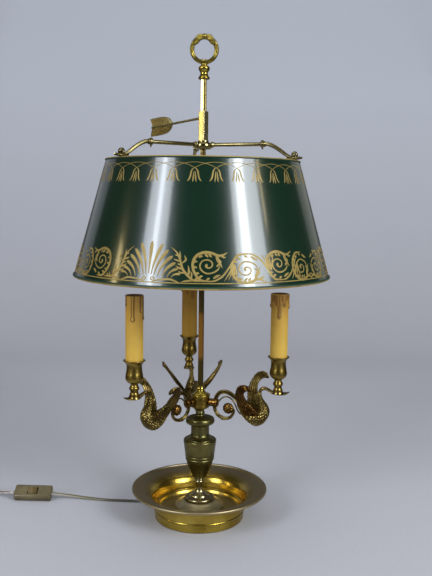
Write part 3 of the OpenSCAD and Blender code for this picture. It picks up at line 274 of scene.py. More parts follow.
def node(tree, kind, inputs=None, out=0, stops=(), **settings):
    """Adds a node, with its settings, the stops of its ramp and its links."""
    made = tree.nodes.new("ShaderNode" + kind)
    for key, value in settings.items():
        setattr(made, key, value)
    for key, value in (inputs or {}).items():
        if isinstance(value, bpy.types.NodeSocket):
            tree.links.new(value, made.inputs[key])
        else:
            made.inputs[key].default_value = linear(value) if isinstance(value, str) else value
    for index, (position, tone) in enumerate(stops):
        elements = made.color_ramp.elements
        element = elements[index] if index < 2 else elements.new(position)
        element.position = position
        element.color = linear(tone) if isinstance(tone, str) else (tone, tone, tone, 1)
    return made.outputs[out] if made.outputs else made


def new_finish(name):
    """An empty material, and the point in the lamp's frame, in metres, for its patterns."""
    material = bpy.data.materials.new(name)
    material.use_nodes = True
    material.node_tree.nodes.clear()
    return material, material.node_tree, node(material.node_tree, "TexCoord", out="Object")


print("mid grey #808080 is", round(linear("#808080")[0], 3), "in linear light")

# %% [markdown]
# ### Patterns
# Wear, tarnish and grain look alike from afar: soft clouds of some size. A noise's
# scale is how many clouds fit in a metre, so 1000 / scale is a cloud's width in
# millimetres: 26 gives tarnish 38 mm wide, and 320 gives specks of 3 mm. Grain that
# is finer than about 1 mm wouldn't show, so it is drawn as coarse as it needs to be.

# %% Clouds, stains and places on the lamp


def clouds(tree, at, scale, low, high, detail=4.0, rough=0.55, warp=0.0, most=1.0):
    """A mask of clouds: 0 where the noise is under `low`, `most` where it is over `high`."""
    inputs = {"Vector": at, "Scale": scale, "Detail": detail, "Roughness": rough, "Distortion": warp}
    noise = node(tree, "TexNoise", inputs)
    return node(tree, "ValToRGB", {"Fac": noise}, stops=((low, 0.0), (high, most)))


def stained(tree, base, tone, mask, most=1.0):
    """A colour with another laid over it where the mask says, up to a share."""
    share = node(tree, "Math", {0: mask, 1: most}, operation="MULTIPLY")
    return node(tree, "Mix", {0: share, 6: base, 7: tone}, out=2, data_type="RGBA")


def axis_distance(tree, at):
    """The distance from the lamp's axis, in metres."""
    flat = node(tree, "VectorMath", {0: at, 1: (1, 1, 0)}, operation="MULTIPLY")
    return node(tree, "VectorMath", {0: flat}, out="Value", operation="LENGTH")


def wandering(tree, at, value, scale, reach, detail, rough):
    """A measure, in metres, that wavers with clouds: an edge drawn from it isn't even."""
    inputs = {"Vector": at, "Scale": scale, "Detail": detail, "Roughness": rough}
    noise = node(tree, "TexNoise", inputs)
    return node(tree, "Math", {0: noise, 1: reach, 2: value}, operation="MULTIPLY_ADD")


print("tarnish clouds:", round(1000 / 26), "mm; specks:", round(1000 / 320), "mm")

# %% [markdown]
# ### Brass, bronze, steel and iron
# Most of the lamp is brass of different ages. It is turned or spun on a lathe, so fine
# rings run round it and draw each highlight out sideways. The arms are sand-cast
# bronze, brown from handling and black in the hollows, where a cloth never reaches.
# Each metal could be its own network, but they differ only in tones and wear, so one
# function clouds two tones, stains them, darkens narrow corners with patina and painted
# shade, and roughens what is stained. `layers` add a region with its own finish, such as a
# tarnished lip or the rod's painted shadow and reflection.

# %% One function for every metal
LATHE_RINGS = 2400.0  # per metre; real ones are finer and wouldn't show
SPECKS = 320.0


def lathe_lines(tree, at):
    """Fine lines round the lamp's axis, as left by a lathe."""
    z = node(tree, "SeparateXYZ", {0: at}, out="Z")
    along = node(tree, "Math", {0: axis_distance(tree, at), 1: z}, operation="ADD")
    inputs = {"W": along, "Scale": LATHE_RINGS, "Detail": 3.0}
    return node(tree, "TexNoise", inputs, noise_dimensions="1D")


def crevice_patina_and_shade(tree, distance):
    """Where patina gathers and painted shade falls: in narrow corners, and where the relief lies low."""
    corner = node(tree, "AmbientOcclusion", {"Distance": distance}, out="AO", samples=6)
    hollow = node(tree, "ValToRGB", {"Fac": corner}, stops=((0.25, 1.0), (0.8, 0.0)))
    relief = node(tree, "Attribute", out="Fac", attribute_name="relief")
    low = node(tree, "ValToRGB", {"Fac": relief}, stops=((0.1, 1.0), (0.4, 0.0)))
    return node(tree, "Math", {0: hollow, 1: low}, operation="MAXIMUM")


def metal(name, bright, dull, patina, rough, age, lines=0.0, crevice=0.004, layers=()):
    """Clouded colour, hollows darkened with patina and painted shade, and fine scratches; `age` runs from 0
    to 1.
    """
    material, tree, at = new_finish(name)
    inputs = {"Vector": at, "Scale": SPECKS, "Detail": 5, "Roughness": 0.6}
    speck = node(tree, "TexNoise", inputs)
    base = stained(tree, bright, dull, clouds(tree, at, 26, 0.36, 0.66, 6, 0.62))
    stain = clouds(tree, at, 60, 0.62 - 0.3 * age, 0.82 - 0.2 * age, 7, 0.7, 0.8)
    base = stained(tree, base, patina, stain, 0.7 * age)
    # patina in the hollows, with ambient occlusion that also paints shade there
    patina_and_painted_shade = crevice_patina_and_shade(tree, crevice)
    base = stained(tree, base, patina, patina_and_painted_shade, 0.5 + 0.5 * age)
    marks = node(tree, "Math", {0: stain, 1: patina_and_painted_shade}, operation="ADD")
    matte = node(tree, "MapRange", {0: marks, 1: 0.0, 2: 2.0, 3: rough[0], 4: rough[1]})
    roughness = node(tree, "Math", {0: speck, 1: 0.06, 2: matte}, operation="MULTIPLY_ADD")
    for mask, tone, coarse in layers:
        share = mask(tree, at)
        base = stained(tree, base, tone, share)
        roughness = node(tree, "Math", {0: share, 1: coarse, 2: roughness}, operation="MULTIPLY_ADD")
    normal = node(tree, "Bump", {"Height": speck, "Distance": 0.06 * MM, "Strength": 0.5})
    if lines:
        inputs = {"Height": lathe_lines(tree, at), "Distance": 0.05 * MM, "Strength": lines, "Normal": normal}
        normal = node(tree, "Bump", inputs)
    inputs = {"Base Color": base, "Metallic": 1.0, "Roughness": roughness, "Normal": normal}
    node(tree, "OutputMaterial", {"Surface": node(tree, "BsdfPrincipled", inputs)})
    return material


print("lathe lines:", round(1000 / LATHE_RINGS, 2), "mm apart")

# %% [markdown]
# ### Where a metal changes
# The bowl's lip has tarnished grey, and its floor is dull with dust. The rod has a painted
# shadow under the shade and a painted coppery reflection below it. Painting such regions
# would tie them to one mesh; a mask worked out from distances in the lamp's frame can't slip.

# %% Tarnished lip and floor, and the rod's painted shadow and reflection


def on_lip(tree, at):
    """The lip outside 80 mm, but not quite its polished edge."""
    radius = axis_distance(tree, at)
    reach = wandering(tree, at, radius, 30, 0.012, 5, 0.6)
    inner = node(tree, "MapRange", {0: reach, 1: 0.0765, 2: 0.0885})
    edge = node(tree, "MapRange", {0: radius, 1: 0.0962, 2: 0.0975, 3: 0.92, 4: 0.8})
    return node(tree, "Math", {0: inner, 1: edge}, operation="MULTIPLY")


def on_floor(tree, at):
    """The bowl's floor, inside 60 mm."""
    reach = wandering(tree, at, axis_distance(tree, at), 45, 0.008, 5, 0.6)
    return node(tree, "MapRange", {0: reach, 1: 0.0655, 2: 0.0595, 3: 0.0, 4: 0.85})


def below(start, end, most):
    """A mask that grows from one height down to another, both in metres."""

    def mask(tree, at):
        z = node(tree, "SeparateXYZ", {0: at}, out="Z")
        return node(tree, "MapRange", {0: z, 1: start, 2: end, 3: 0.0, 4: most})

    return mask


# the painted shadow of the shade on the rod, a painted coppery reflection below it, and a darker olive foot
rod_painted_shadow, rod_painted_reflection, low_on_rod = below(0.352, 0.34, 0.8), below(0.308, 0.298, 0.9), below(0.24, 0.232, 0.85)
print("the rod changes at 346, 303 and 236 mm")

# %% The turned and cast metals
# Each line: name, bright tone, dull tone, patina, roughness clean and stained, age.
BRASS = metal("aged brass", "#9b8f62", "#756b45", "#2c2613", (0.13, 0.36), 0.5, 0.25)
PEDESTAL_BRASS = metal("rubbed pedestal brass", "#b8ac84", "#948864", "#3d3419", (0.2, 0.4), 0.4, 0.3)
COLUMN_BRASS = metal("olive column brass", "#867c4c", "#65613a", "#2a2614", (0.28, 0.5), 0.6, 0.25)
HUB_BRASS = metal("warm hub brass", "#a98f42", "#80692c", "#35280f", (0.22, 0.42), 0.45, 0.3)
BRONZE = metal("brown cast bronze", "#95814a", "#6e5c30", "#231b0c", (0.2, 0.48), 0.62, crevice=0.003)
RED_BRONZE = metal("reddish cast bronze", "#83602f", "#5b3e1b", "#1e120a", (0.18, 0.42), 0.5, crevice=0.003)
SHADED_WING_BRONZE = metal("cast bronze, darkened as painted shade", "#7a6638", "#53421f", "#1b1409", (0.2, 0.44), 0.6, crevice=0.003)
CUP_BRASS = metal("candle cup brass", "#a58c45", "#7d6830", "#33270f", (0.24, 0.46), 0.55, 0.3)
GOLD_BRASS = metal("polished brass", "#c9b458", "#a8923a", "#5d4c1f", (0.1, 0.28), 0.3, 0.35)
FOOT_BRASS = metal("polished foot brass", "#bfa549", "#9d8432", "#5a4618", (0.22, 0.4), 0.35, 0.4)
PALE_BRASS = metal("pale plinth brass", "#c9bb94", "#a89b74", "#5d5238", (0.36, 0.5), 0.5, 0.4)
print("finishes so far:", len(bpy.data.materials))

# %% The spun bowl, the drawn rod and the small metals
BOWL_BRASS = metal(
    "spun bowl brass", "#c9ad52", "#a98d3a", "#5d4a1c", (0.2, 0.36), 0.3, 0.4,
    layers=((on_lip, "#a3967c", 0.24), (on_floor, "#ac9f76", 0.34)),
)
# the rod's layers: painted shadow under the shade, painted reflection, and a darker foot
ROD_BRASS = metal(
    "drawn rod brass", "#dcc67e", "#c2a95c", "#7d6a34", (0.08, 0.2), 0.15,
    layers=((rod_painted_shadow, "#5e4c2b", 0.06), (rod_painted_reflection, "#c48c3e", 0.28), (low_on_rod, "#5a5730", -0.1)),
)
# the sleeve's pale, near white tone is a painted highlight for the window mirrored in its face
SLEEVE_HIGHLIGHT_BRASS = metal("sleeve brass, paled as painted highlight", "#f4eab8", "#dccb8c", "#86763e", (0.24, 0.38), 0.2)
ARROW_BRASS = metal("greyed arrow brass", "#a0976c", "#7c7048", "#3b3019", (0.24, 0.46), 0.6, crevice=0.003)
RING_BRASS = metal("olive gold ring", "#bba754", "#93813a", "#3c3216", (0.14, 0.34), 0.4)
STEEL = metal("zinc plated steel", "#9b9ea0", "#85888a", "#4d4f50", (0.28, 0.5), 0.3)
IRON = metal("cast iron", "#55565a", "#434447", "#26211d", (0.5, 0.75), 0.6)
CONTACT = metal("contact brass", "#d9b768", "#bd9a4c", "#75592a", (0.15, 0.35), 0.2)
NICKEL = metal("nickel plate", "#c6c5c2", "#b3b2b0", "#7d7b78", (0.12, 0.25), 0.15)
print("finishes so far:", len(bpy.data.materials))

# %% [markdown]
# ### Lacquer and gilding
# The shade is tin, sprayed dark green and then with clear varnish, which mirrors the
# windows sharply. Its inside is cream, to throw the light down. Two materials could
# hold the sides, but one does: it compares a point's distance from the axis with the
# cone's radius. The gilding is gold powder in varnish, not leaf, so it is only partly
# metallic and stays pale and matte where nothing shines on it.

# %% Lacquered tin


def lacquer(name):
    """Dark green lacquer outside, cream inside, faintly rubbed under a clear coat."""
    material, tree, at = new_finish(name)
    base = stained(tree, "#041f12", "#062718", clouds(tree, at, 9, 0.3, 0.7, 5, 0.6))
    base = stained(tree, base, "#3c6650", clouds(tree, at, 240, 0.66, 0.8, 6, 0.75, 1.5), 0.06)
    z = node(tree, "SeparateXYZ", {0: at}, out="Z")
    wall = node(tree, "MapRange", {0: z, 1: 0.359, 2: 0.5174, 3: 0.179, 4: 0.1344})
    inside = node(tree, "Math", {0: axis_distance(tree, at), 1: wall}, operation="LESS_THAN")
    base = stained(tree, base, "#e2dcc6", inside)
    cloud = node(tree, "TexNoise", {"Vector": at, "Scale": 20, "Detail": 4, "Roughness": 0.6})
    roughness = node(tree, "MapRange", {0: cloud, 3: 0.2, 4: 0.27})
    # shallow dents of about 110 mm, as tin takes in the rolling
    dents = node(tree, "TexNoise", {"Vector": at, "Scale": 9, "Detail": 2, "Roughness": 0.4})
    normal = node(tree, "Bump", {"Height": dents, "Distance": 1 * MM, "Strength": 0.3})
    inputs = {"Base Color": base, "Roughness": roughness, "Normal": normal}
    inputs |= {"Coat Weight": 0.9, "Coat Roughness": 0.1}
    node(tree, "OutputMaterial", {"Surface": node(tree, "BsdfPrincipled", inputs)})
    return material


LACQUER = lacquer("green lacquer")
print("made", LACQUER.name)

# %% Gilt paint, and rims where it fades into the lacquer


def gilding(name, light, dark, low=None, high=None):
    """Gold powder paint; between two heights it fades into the green lacquer."""
    material, tree, at = new_finish(name)
    base = stained(tree, light, dark, clouds(tree, at, 70, 0.35, 0.68, 5))
    base = stained(tree, base, "#5f5228", clouds(tree, at, 520, 0.62, 0.78, 5, 0.7, most=0.5))
    gold = 0.3
    if low is not None:
        z = node(tree, "SeparateXYZ", {0: at}, out="Z")
        height = wandering(tree, at, z, 40, 0.0006, 4, 0.55)
        share = node(tree, "MapRange", {0: height, 1: low, 2: high})
        base = stained(tree, "#123425", base, share)
        gold = node(tree, "Math", {0: share, 1: gold}, operation="MULTIPLY")
    # gold powder is far finer; 1 mm grain is the finest that shows
    grain = node(tree, "TexNoise", {"Vector": at, "Scale": 900, "Detail": 4, "Roughness": 0.55})
    roughness = node(tree, "MapRange", {0: grain, 3: 0.42, 4: 0.58})
    normal = node(tree, "Bump", {"Height": grain, "Distance": 0.05 * MM, "Strength": 0.6})
    inputs = {"Base Color": base, "Metallic": gold, "Roughness": roughness, "Normal": normal}
    node(tree, "OutputMaterial", {"Surface": node(tree, "BsdfPrincipled", inputs)})
    return material


GILT = gilding("gilt paint", "#9e8748", "#846f36")
LOWER_RIM = gilding("half gilt lower rim", "#b79a52", "#94793a", 0.3597, 0.3588)
UPPER_RIM = gilding("half gilt upper rim", "#b79a52", "#94793a", 0.5178, 0.5186)
print("made", GILT.name, "and two rims")

# %% [markdown]
# ### Candle resin
# The candles are cast resin in the ochre of old wax, with amber where it has pooled and
# painted dark brown shade along each run's edges, at the rim and inside the tube. Plain
# paint would look hard, so a little subsurface scattering lets the light go a few millimetres in.

# %% Resin


def wax(name, light, dark, foot):
    """Candle resin with painted shade along its runs' edges, amber in its hood and paler at its foot."""
    material, tree, at = new_finish(name)
    base = stained(tree, light, dark, clouds(tree, at, 38, 0.35, 0.7, 5))
    base = stained(tree, base, foot, below(0.325, 0.262, 0.6)(tree, at))
    relief = node(tree, "Attribute", out="Fac", attribute_name="relief")
    pooled = node(tree, "ValToRGB", {"Fac": relief}, stops=((0.62, 0.0), (0.9, 0.8)))
    # painted shade: dark brown where the relief is low, along run edges, at the rim and inside
    resin_painted_shade = node(tree, "ValToRGB", {"Fac": relief}, stops=((0.08, 0.95), (0.45, 0.0)))
    base = stained(tree, stained(tree, base, "#7d5018", pooled), "#4c300c", resin_painted_shade)
    grain = node(tree, "TexNoise", {"Vector": at, "Scale": 150, "Detail": 4, "Roughness": 0.55})
    normal = node(tree, "Bump", {"Height": grain, "Distance": 0.2 * MM, "Strength": 0.4})
    inputs = {"Base Color": base, "Roughness": 0.42, "Normal": normal, "Subsurface Weight": 0.1}
    inputs |= {"Subsurface Scale": 4 * MM, "Subsurface Radius": (1.0, 0.55, 0.2)}
    node(tree, "OutputMaterial", {"Surface": node(tree, "BsdfPrincipled", inputs)})
    return material


WAX = wax("ochre candle resin", "#ba9036", "#aa7d28", "#d8b34a")
# the back candle's resin is a darker copy of the same resin, as painted shade
SHADED_BACK_WAX = wax("back candle resin, darkened as painted shade", "#9c7314", "#86600e", "#aa821c")
print("made", WAX.name, "and", SHADED_BACK_WAX.name)

# %% [markdown]
# ### Moulded plastic, felt, rubber and vinyl
# The switch and plug are moulded, so they are smooth with a faint grain. The felt is
# wool, all grain and no shine. The flex is clear vinyl over coppery strands, glossy.
# Glass-like vinyl would be slow to render, so the flex is a coated solid with its tones
# along its length: pale grey in the open, and dark beside the bowl as painted shadow.

# %% Mouldings, felt and rubber


def plain(name, light, dark, rough, scale=40.0, grain=0.08 * MM, coat=0.0):
    """A moulded, cast or woven finish with a soft mottle, a fine grain and painted shade in its narrow
    corners.
    """
    material, tree, at = new_finish(name)
    base = stained(tree, light, dark, clouds(tree, at, scale, 0.35, 0.65, 5))
    inputs = {"Vector": at, "Scale": scale * 22, "Detail": 4, "Roughness": 0.55}
    fine = node(tree, "TexNoise", inputs)
    # painted shade: ambient occlusion darkens narrow corners towards the dark tone
    corner = node(tree, "AmbientOcclusion", {"Distance": 3 * MM}, out="AO", samples=4)
    edge = node(tree, "ValToRGB", {"Fac": corner}, stops=((0.3, 0.55), (0.75, 0.0)))
    base = stained(tree, base, dark, edge)
    roughness = node(tree, "MapRange", {0: fine, 3: rough - 0.05, 4: rough + 0.08})
    normal = node(tree, "Bump", {"Height": fine, "Distance": grain, "Strength": 0.6})
    inputs = {"Base Color": base, "Roughness": roughness, "Normal": normal, "Coat Weight": coat}
    node(tree, "OutputMaterial", {"Surface": node(tree, "BsdfPrincipled", inputs)})
    return material


FELT = plain("green felt", "#46543e", "#39442f", 0.95, 90, 0.4 * MM)
PHENOLIC = plain("moulded lampholder", "#e6e0cc", "#d2caaf", 0.45)
RUBBER = plain("dark rubber", "#3d3931", "#2b2822", 0.6)
MOULDED = plain("olive brown moulding", "#685d3e", "#50462c", 0.34, 30, 0.06 * MM, 0.15)
AMBER = plain("amber rocker", "#6a5730", "#4f4022", 0.28, 30, 0.04 * MM, 0.4)
PLUG = plain("gold plug moulding", "#b9a878", "#9b8a5a", 0.35, 30, 0.06 * MM)
TIE = plain("black tie", "#2c2c2c", "#202020", 0.5)
print("felt grain:", round(1000 / (90 * 22), 2), "mm")

# %% Clear twin flex
# pale grey, olive, then near black towards the bowl, where the dark end is painted shadow
FLEX_TONES_AND_SHADOW = ((0.0, "#bdb4b1"), (0.4, "#aca598"), (0.6, "#736c49"), (0.82, "#35332a"))


def clear_flex(name):
    """Clear vinyl flex: pale grey in the open, olive, then almost black in the bowl's painted shadow."""
    material, tree, at = new_finish(name)
    # tones along X: the darkening towards the bowl is painted shadow
    x = node(tree, "SeparateXYZ", {0: at}, out="X")
    run = node(tree, "MapRange", {0: x, 1: -0.3, 2: -0.08})
    base = node(tree, "ValToRGB", {"Fac": run}, stops=FLEX_TONES_AND_SHADOW)
    base = stained(tree, base, "#6f6a5c", clouds(tree, at, 240, 0.4, 0.7, 5, most=0.35))
    # painted shade: a dark line in the groove between the cores
    relief = node(tree, "Attribute", out="Fac", attribute_name="relief")
    groove = node(tree, "ValToRGB", {"Fac": relief}, stops=((0.5, 0.85), (0.85, 0.0)))
    base = stained(tree, base, "#45403a", groove)
    grain = node(tree, "TexNoise", {"Vector": at, "Scale": 500, "Detail": 4, "Roughness": 0.55})
    normal = node(tree, "Bump", {"Height": grain, "Distance": 0.1 * MM, "Strength": 0.4})
    inputs = {"Base Color": base, "Roughness": 0.22, "Normal": normal}
    inputs |= {"Coat Weight": 0.6, "Coat Roughness": 0.1}
    node(tree, "OutputMaterial", {"Surface": node(tree, "BsdfPrincipled", inputs)})
    return material


FLEX = clear_flex("clear twin flex")
print("made", FLEX.name)

# %% Finishes of the pieces that keep their CAD shape
NODE_LOOKS = {
    FELT: ["felt_pad"],
    IRON: ["base_weight"],
    STEEL: [
        "base_screws", "tie_tube", "tie_nut", "arm_screws", "candle_nipples", "holder_brackets",
        "shade_nuts", "switch_screws",
    ],
    CONTACT: ["holder_contacts"],
    PHENOLIC: ["lampholder_1", "lampholder_2", "lampholder_3"],
    FLEX: ["inner_lead"],
    RUBBER: ["strain_relief"],
    NICKEL: ["plug_pins"],
    TIE: ["coil_tie"],
}
for material, names in NODE_LOOKS.items():
    for name in names:
        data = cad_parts[name].data
        data.materials.clear()
        data.materials.append(material)
print("finishes made:", len(bpy.data.materials))

# %% [markdown]
# ## Flex
# The flex is two wires side by side in one clear sheath. A curve object with a round
# bevel would be quicker, but has no groove between its cores and can't lie flat on the
# floor and then stand on edge in the coil. So a section is carried along a route. Each
# of its points is x, y, z and the roll of the flat side in degrees, as in the model.

# %% Where the flex runs
CORD_W, CORD_T = 5.4, 2.8
SWITCH_AT = np.array([-256.5, 55.3, 9.8])
SWITCH_HEADING, SWITCH_LEAN, SWITCH_LEN = -3, 33, 57


def on_switch(reach):
    """A point of the route on the switch's own axis."""
    a = math.radians(SWITCH_HEADING)
    return [*(SWITCH_AT + [reach * math.cos(a), reach * math.sin(a), 0]), SWITCH_LEAN]


lamp_route = [
    [-76.98, 39.22, 4.6, 0], [-80.6, 41, 4.2, 0], [-87, 43.6, 3.2, 0], [-96, 45.5, 2, 0],
    [-107, 46.8, 1.5, 0], [-121, 47.8, 1.5, 0], [-136, 49, 1.5, 0], [-150, 51.3, 1.5, 0],
    [-164, 54, 1.7, 5], [-177, 56, 2.4, 12], [-190, 57.1, 3.8, 20], [-202, 56.9, 5.7, 27],
    [-212, 55.3, 7.6, 31], [-219, 53.9, 9, 33], on_switch(32.5), on_switch(28.5),
]
plug_route = [
    on_switch(-28.5), on_switch(-32.5), [-294, 58.1, 9.4, 34], [-300, 60.4, 8.5, 38],
    [-308, 64.8, 6.9, 46], [-318, 71, 5.2, 55], [-329, 78.4, 4, 66], [-340, 86, 3.5, 76],
    [-351, 92.6, 3.6, 84],
]
tail_route = [
    [-402.4, 48, 8.8, 90], [-402, 36, 8.2, 80], [-399.2, 25, 7.6, 60], [-393.4, 15, 7.2, 40],
    [-386.5, 8.6, 6.9, 20], [-379.4, 5.3, 6.9, 5], [-375, 5, 6.85, 0],
]
print("points to the switch:", len(lamp_route), "and on to the coil:", len(plug_route))

# %% The coil, two layers deep
COIL_AT, COIL_OUT_R, COIL_PITCH, COIL_LOW_Z, COIL_HIGH_Z = (-366, 62), 35.4, 2.86, 3.7, 9.3
COIL_START, COIL_TURNS, CLIMB_ANGLE = 81.8, 7 + 101.4 / 360, 80


def winding():
    """The coil's line: inward on the lower layer, up, and outward on the upper one."""
    rows = []
    for share in np.linspace(0, 1, 300):
        angle = math.radians(COIL_START + share * COIL_TURNS * 360)
        done = share * COIL_TURNS
        climb = np.clip((share - 0.5) * COIL_TURNS * 360 / CLIMB_ANGLE + 0.5, 0, 1)
        climb = climb * climb * (3 - 2 * climb)
        radius = COIL_OUT_R - COIL_PITCH * min(done, COIL_TURNS - done)
        x, y = COIL_AT[0] + radius * math.cos(angle), COIL_AT[1] + radius * math.sin(angle)
        rows.append([x, y, COIL_LOW_Z + climb * (COIL_HIGH_Z - COIL_LOW_Z), 90])
    return rows


print("turns in the coil:", round(COIL_TURNS, 2))

# %% Two cores in one sheath
GROOVE_DEPTH = 0.86
CORE_RELIEF, GROOVE_RELIEF, GROOVE_HALF = 0.9, 0.5, 0.8


def twin_section():
    """The flex's section: x across both cores, y through them."""
    ring = circle(24)
    core = CORD_T / 2
    x = ring[:, 0] * (CORD_W / 2)
    off = np.abs(x) - (CORD_W / 2 - core)
    y = np.sqrt(np.clip(core**2 - np.clip(off, -core * GROOVE_DEPTH, core) ** 2, 0, None))
    return x, y * np.sign(ring[:, 1] + 1e-12) * (np.abs(ring[:, 1]) > 1e-9)


def twin_flex(route, steps):
    """The flex along a route: its skin, its relief and the line through it."""
    r = curve(route, steps)
    t = heading(r[:, :3])
    flat = np.stack([t[:, 1], -t[:, 0], 0 * t[:, 0]], -1)
    flat /= np.linalg.norm(flat, axis=1)[:, None]
    rise = np.cross(flat, t)
    rise *= np.sign(rise[:, 2:3])
    roll = np.radians(r[:, 3:4])
    wide = flat * np.cos(roll) + rise * np.sin(roll)
    thick = rise * np.cos(roll) - flat * np.sin(roll)
    x, y = twin_section()
    rings = r[:, None, :3] + wide[:, None] * x[None, :, None] + thick[:, None] * y[None, :, None]
    relief = np.where(np.abs(x) > GROOVE_HALF, CORE_RELIEF, GROOVE_RELIEF)
    return skin(rings), np.broadcast_to(relief, rings.shape[:2]), (r[:, :3] * MM).tolist()


def length_of(line):
    return float(np.linalg.norm(np.diff(np.array(line), axis=0), axis=1).sum())


shape, relief, lamp_line = twin_flex(lamp_route, 5)
lamp_flex = Build().add(shape, 0, relief)
lamp_flex = lamp_flex.make("lamp_flex", FLEX, replaces=["lamp_cord"], slot="flex", sharp=70)
shape, relief, plug_line = twin_flex([*plug_route, *winding(), *tail_route], 3)
plug_flex = Build().add(shape, 0, relief)
plug_flex = plug_flex.make("plug_flex", FLEX, replaces=["plug_cord", "cord_coil"], slot="flex", sharp=70)
print("lamp side:", round(length_of(lamp_line), 3), "m; plug side:", round(length_of(plug_line), 3), "m")

# %% [markdown]
# ## Switch
# The inline switch is two moulded halves, screwed together from below, with a rocker
# between. A bevelled box comes close, but a moulding is drawn in at its ends. So each
# half is a skin over one outline that shrinks there, and boxes cut the openings.

# %% A moulded half


def in_switch(points):
    """Points of the switch's own frame, placed on the table."""
    p = tilted(tilted(points, "X", SWITCH_LEAN), "Z", SWITCH_HEADING)
    return p + SWITCH_AT


def shell(rows, length, end_round=2.4, steps=5):
    """A moulded half: an outline in Y and Z, drawn in at both ends."""
    outline = soften(rows, 1.1)
    ends = []
    for share in np.linspace(0, 1, steps + 1):
        a = share * math.pi / 2
        ends.append((length / 2 - end_round + end_round * math.sin(a), end_round * (1 - math.cos(a))))
    stations = [(-x, d) for x, d in reversed(ends)] + ends
    lows, highs = outline.min(0), outline.max(0)
    middle = (lows + highs) / 2
    rings = []
    for x, drawn in stations:
        part = middle + (outline - middle) * (1 - drawn / (highs - lows) * np.array([2, 0.9]))
        if highs[1] <= 0.01:
            part[:, 1] += highs[1] - part[:, 1].max()
        else:
            part[:, 1] += lows[1] - part[:, 1].min()
        rings.append(np.stack([np.full(len(part), x), part[:, 0], part[:, 1]], -1))
    return skin(np.array(rings))


print("the switch leans", SWITCH_LEAN, "degrees on its cord")

# %% Boxes, and openings cut with them


def block(size, centre, radius=0.6):
    """A box with rounded edges."""
    bm = bmesh.new()
    bmesh.ops.create_cube(bm, size=1)
    bmesh.ops.scale(bm, vec=size, verts=bm.verts)
    bmesh.ops.bevel(bm, geom=list(bm.edges), offset=radius, segments=3, profile=0.5, affect="EDGES")
    points = np.array([v.co for v in bm.verts]) + np.asarray(centre, float)
    bm.verts.ensure_lookup_table()
    faces = [[v.index for v in f.verts] for f in bm.faces]
    bm.free()
    return points, faces


def carve(obj, cutters):
    """Cuts hidden shapes out of an object, in its own place."""
    for points, faces in cutters:
        mesh = bpy.data.meshes.new("cutter")
        mesh.from_pydata((np.asarray(points) * MM).tolist(), [], faces)
        tool = in_scene("cutter", mesh)
        modifier = obj.modifiers.new("cut", "BOOLEAN")
        modifier.object = tool
        modifier.solver = "EXACT"
        bpy.context.view_layer.update()
        whole = obj.evaluated_get(bpy.context.evaluated_depsgraph_get())
        cut, old = bpy.data.meshes.new_from_object(whole), obj.data
        obj.modifiers.clear()
        obj.data = cut
        bpy.data.meshes.remove(old)
        bpy.data.objects.remove(tool)
    obj.data.polygons.foreach_set("use_smooth", [True] * len(obj.data.polygons))
    obj.data.set_sharp_from_angle(angle=math.radians(30))
    print(obj.name, "after", len(cutters), "cuts:", len(obj.data.polygons), "faces")


# %% Top and bottom of the switch
HALF_W, HALF_T = 12.0, 6.0
TOP_LINE = [
    [-HALF_W, 0.05], [HALF_W, 0.05], [HALF_W, HALF_T - 2.4], [HALF_W - 2.6, HALF_T],
    [2.6 - HALF_W, HALF_T], [-HALF_W, HALF_T - 2.4],
]
BOTTOM_LINE = [
    [HALF_W, -0.05], [-HALF_W, -0.05], [-HALF_W, 2.35 - HALF_T], [3.6 - HALF_W, -HALF_T],
    [HALF_W - 3.6, -HALF_T], [HALF_W, 2.35 - HALF_T],
]
RIB_AT, RIB_APART, SCREW_AT, SCREW_HOLE_R = 16.5, 2.4, 20.5, 2.5

top = Build().add(shell(TOP_LINE, SWITCH_LEN), place=in_switch)
for side in (-1, 1):
    for k in range(4):
        rib_at = [side * (RIB_AT + RIB_APART * k), 0, HALF_T - 0.1]
        top.add(block([1.1, 15, 0.7], rib_at, 0.3), place=in_switch)
switch_top = top.make("switch_cover", MOULDED, replaces=["switch_top"], slot="moulded_olive", sharp=30)
hole, hole_faces = block([16, 11.4, 14], [0, 0, 6.5], 0.4)
carve(switch_top, [(in_switch(hole), hole_faces)])

switch_base = Build().add(shell(BOTTOM_LINE, SWITCH_LEN), place=in_switch)
switch_base = switch_base.make(
    "switch_bottom", MOULDED, replaces=["switch_base"], slot="moulded_olive", sharp=30
)
sinks = []
for side in (-1, 1):
    ring = circle(32) * SCREW_HOLE_R + [side * SCREW_AT, 0]
    points, faces = skin(np.array([np.column_stack([ring, np.full(32, z)]) for z in (-8.0, -3.9)]))
    sinks.append((in_switch(points), faces))
hollow, hollow_faces = block([31, 13.6, 8], [0, 0, -0.4], 0.3)
carve(switch_base, [*sinks, (in_switch(hollow), hollow_faces)])

# %% [markdown]
# ### Rocker
# The rocker is an amber key that tips 8 degrees each way, with a dimple on either
# half. Cutting it from a block would leave hard edges, so its side view is drawn once,
# two slopes over a round belly, and widened into a skin whose ends are drawn in.

# %% The rocker
KEY_HALF, KEY_BELLY, KEY_TILT, KEY_WIDTH = 8.5, 8.6, 8, 6.4
DIMPLE_AT, DIMPLE_R, DIMPLE_LONG, DIMPLE_DEEP = 4.6, 2.0, 3, 0.5

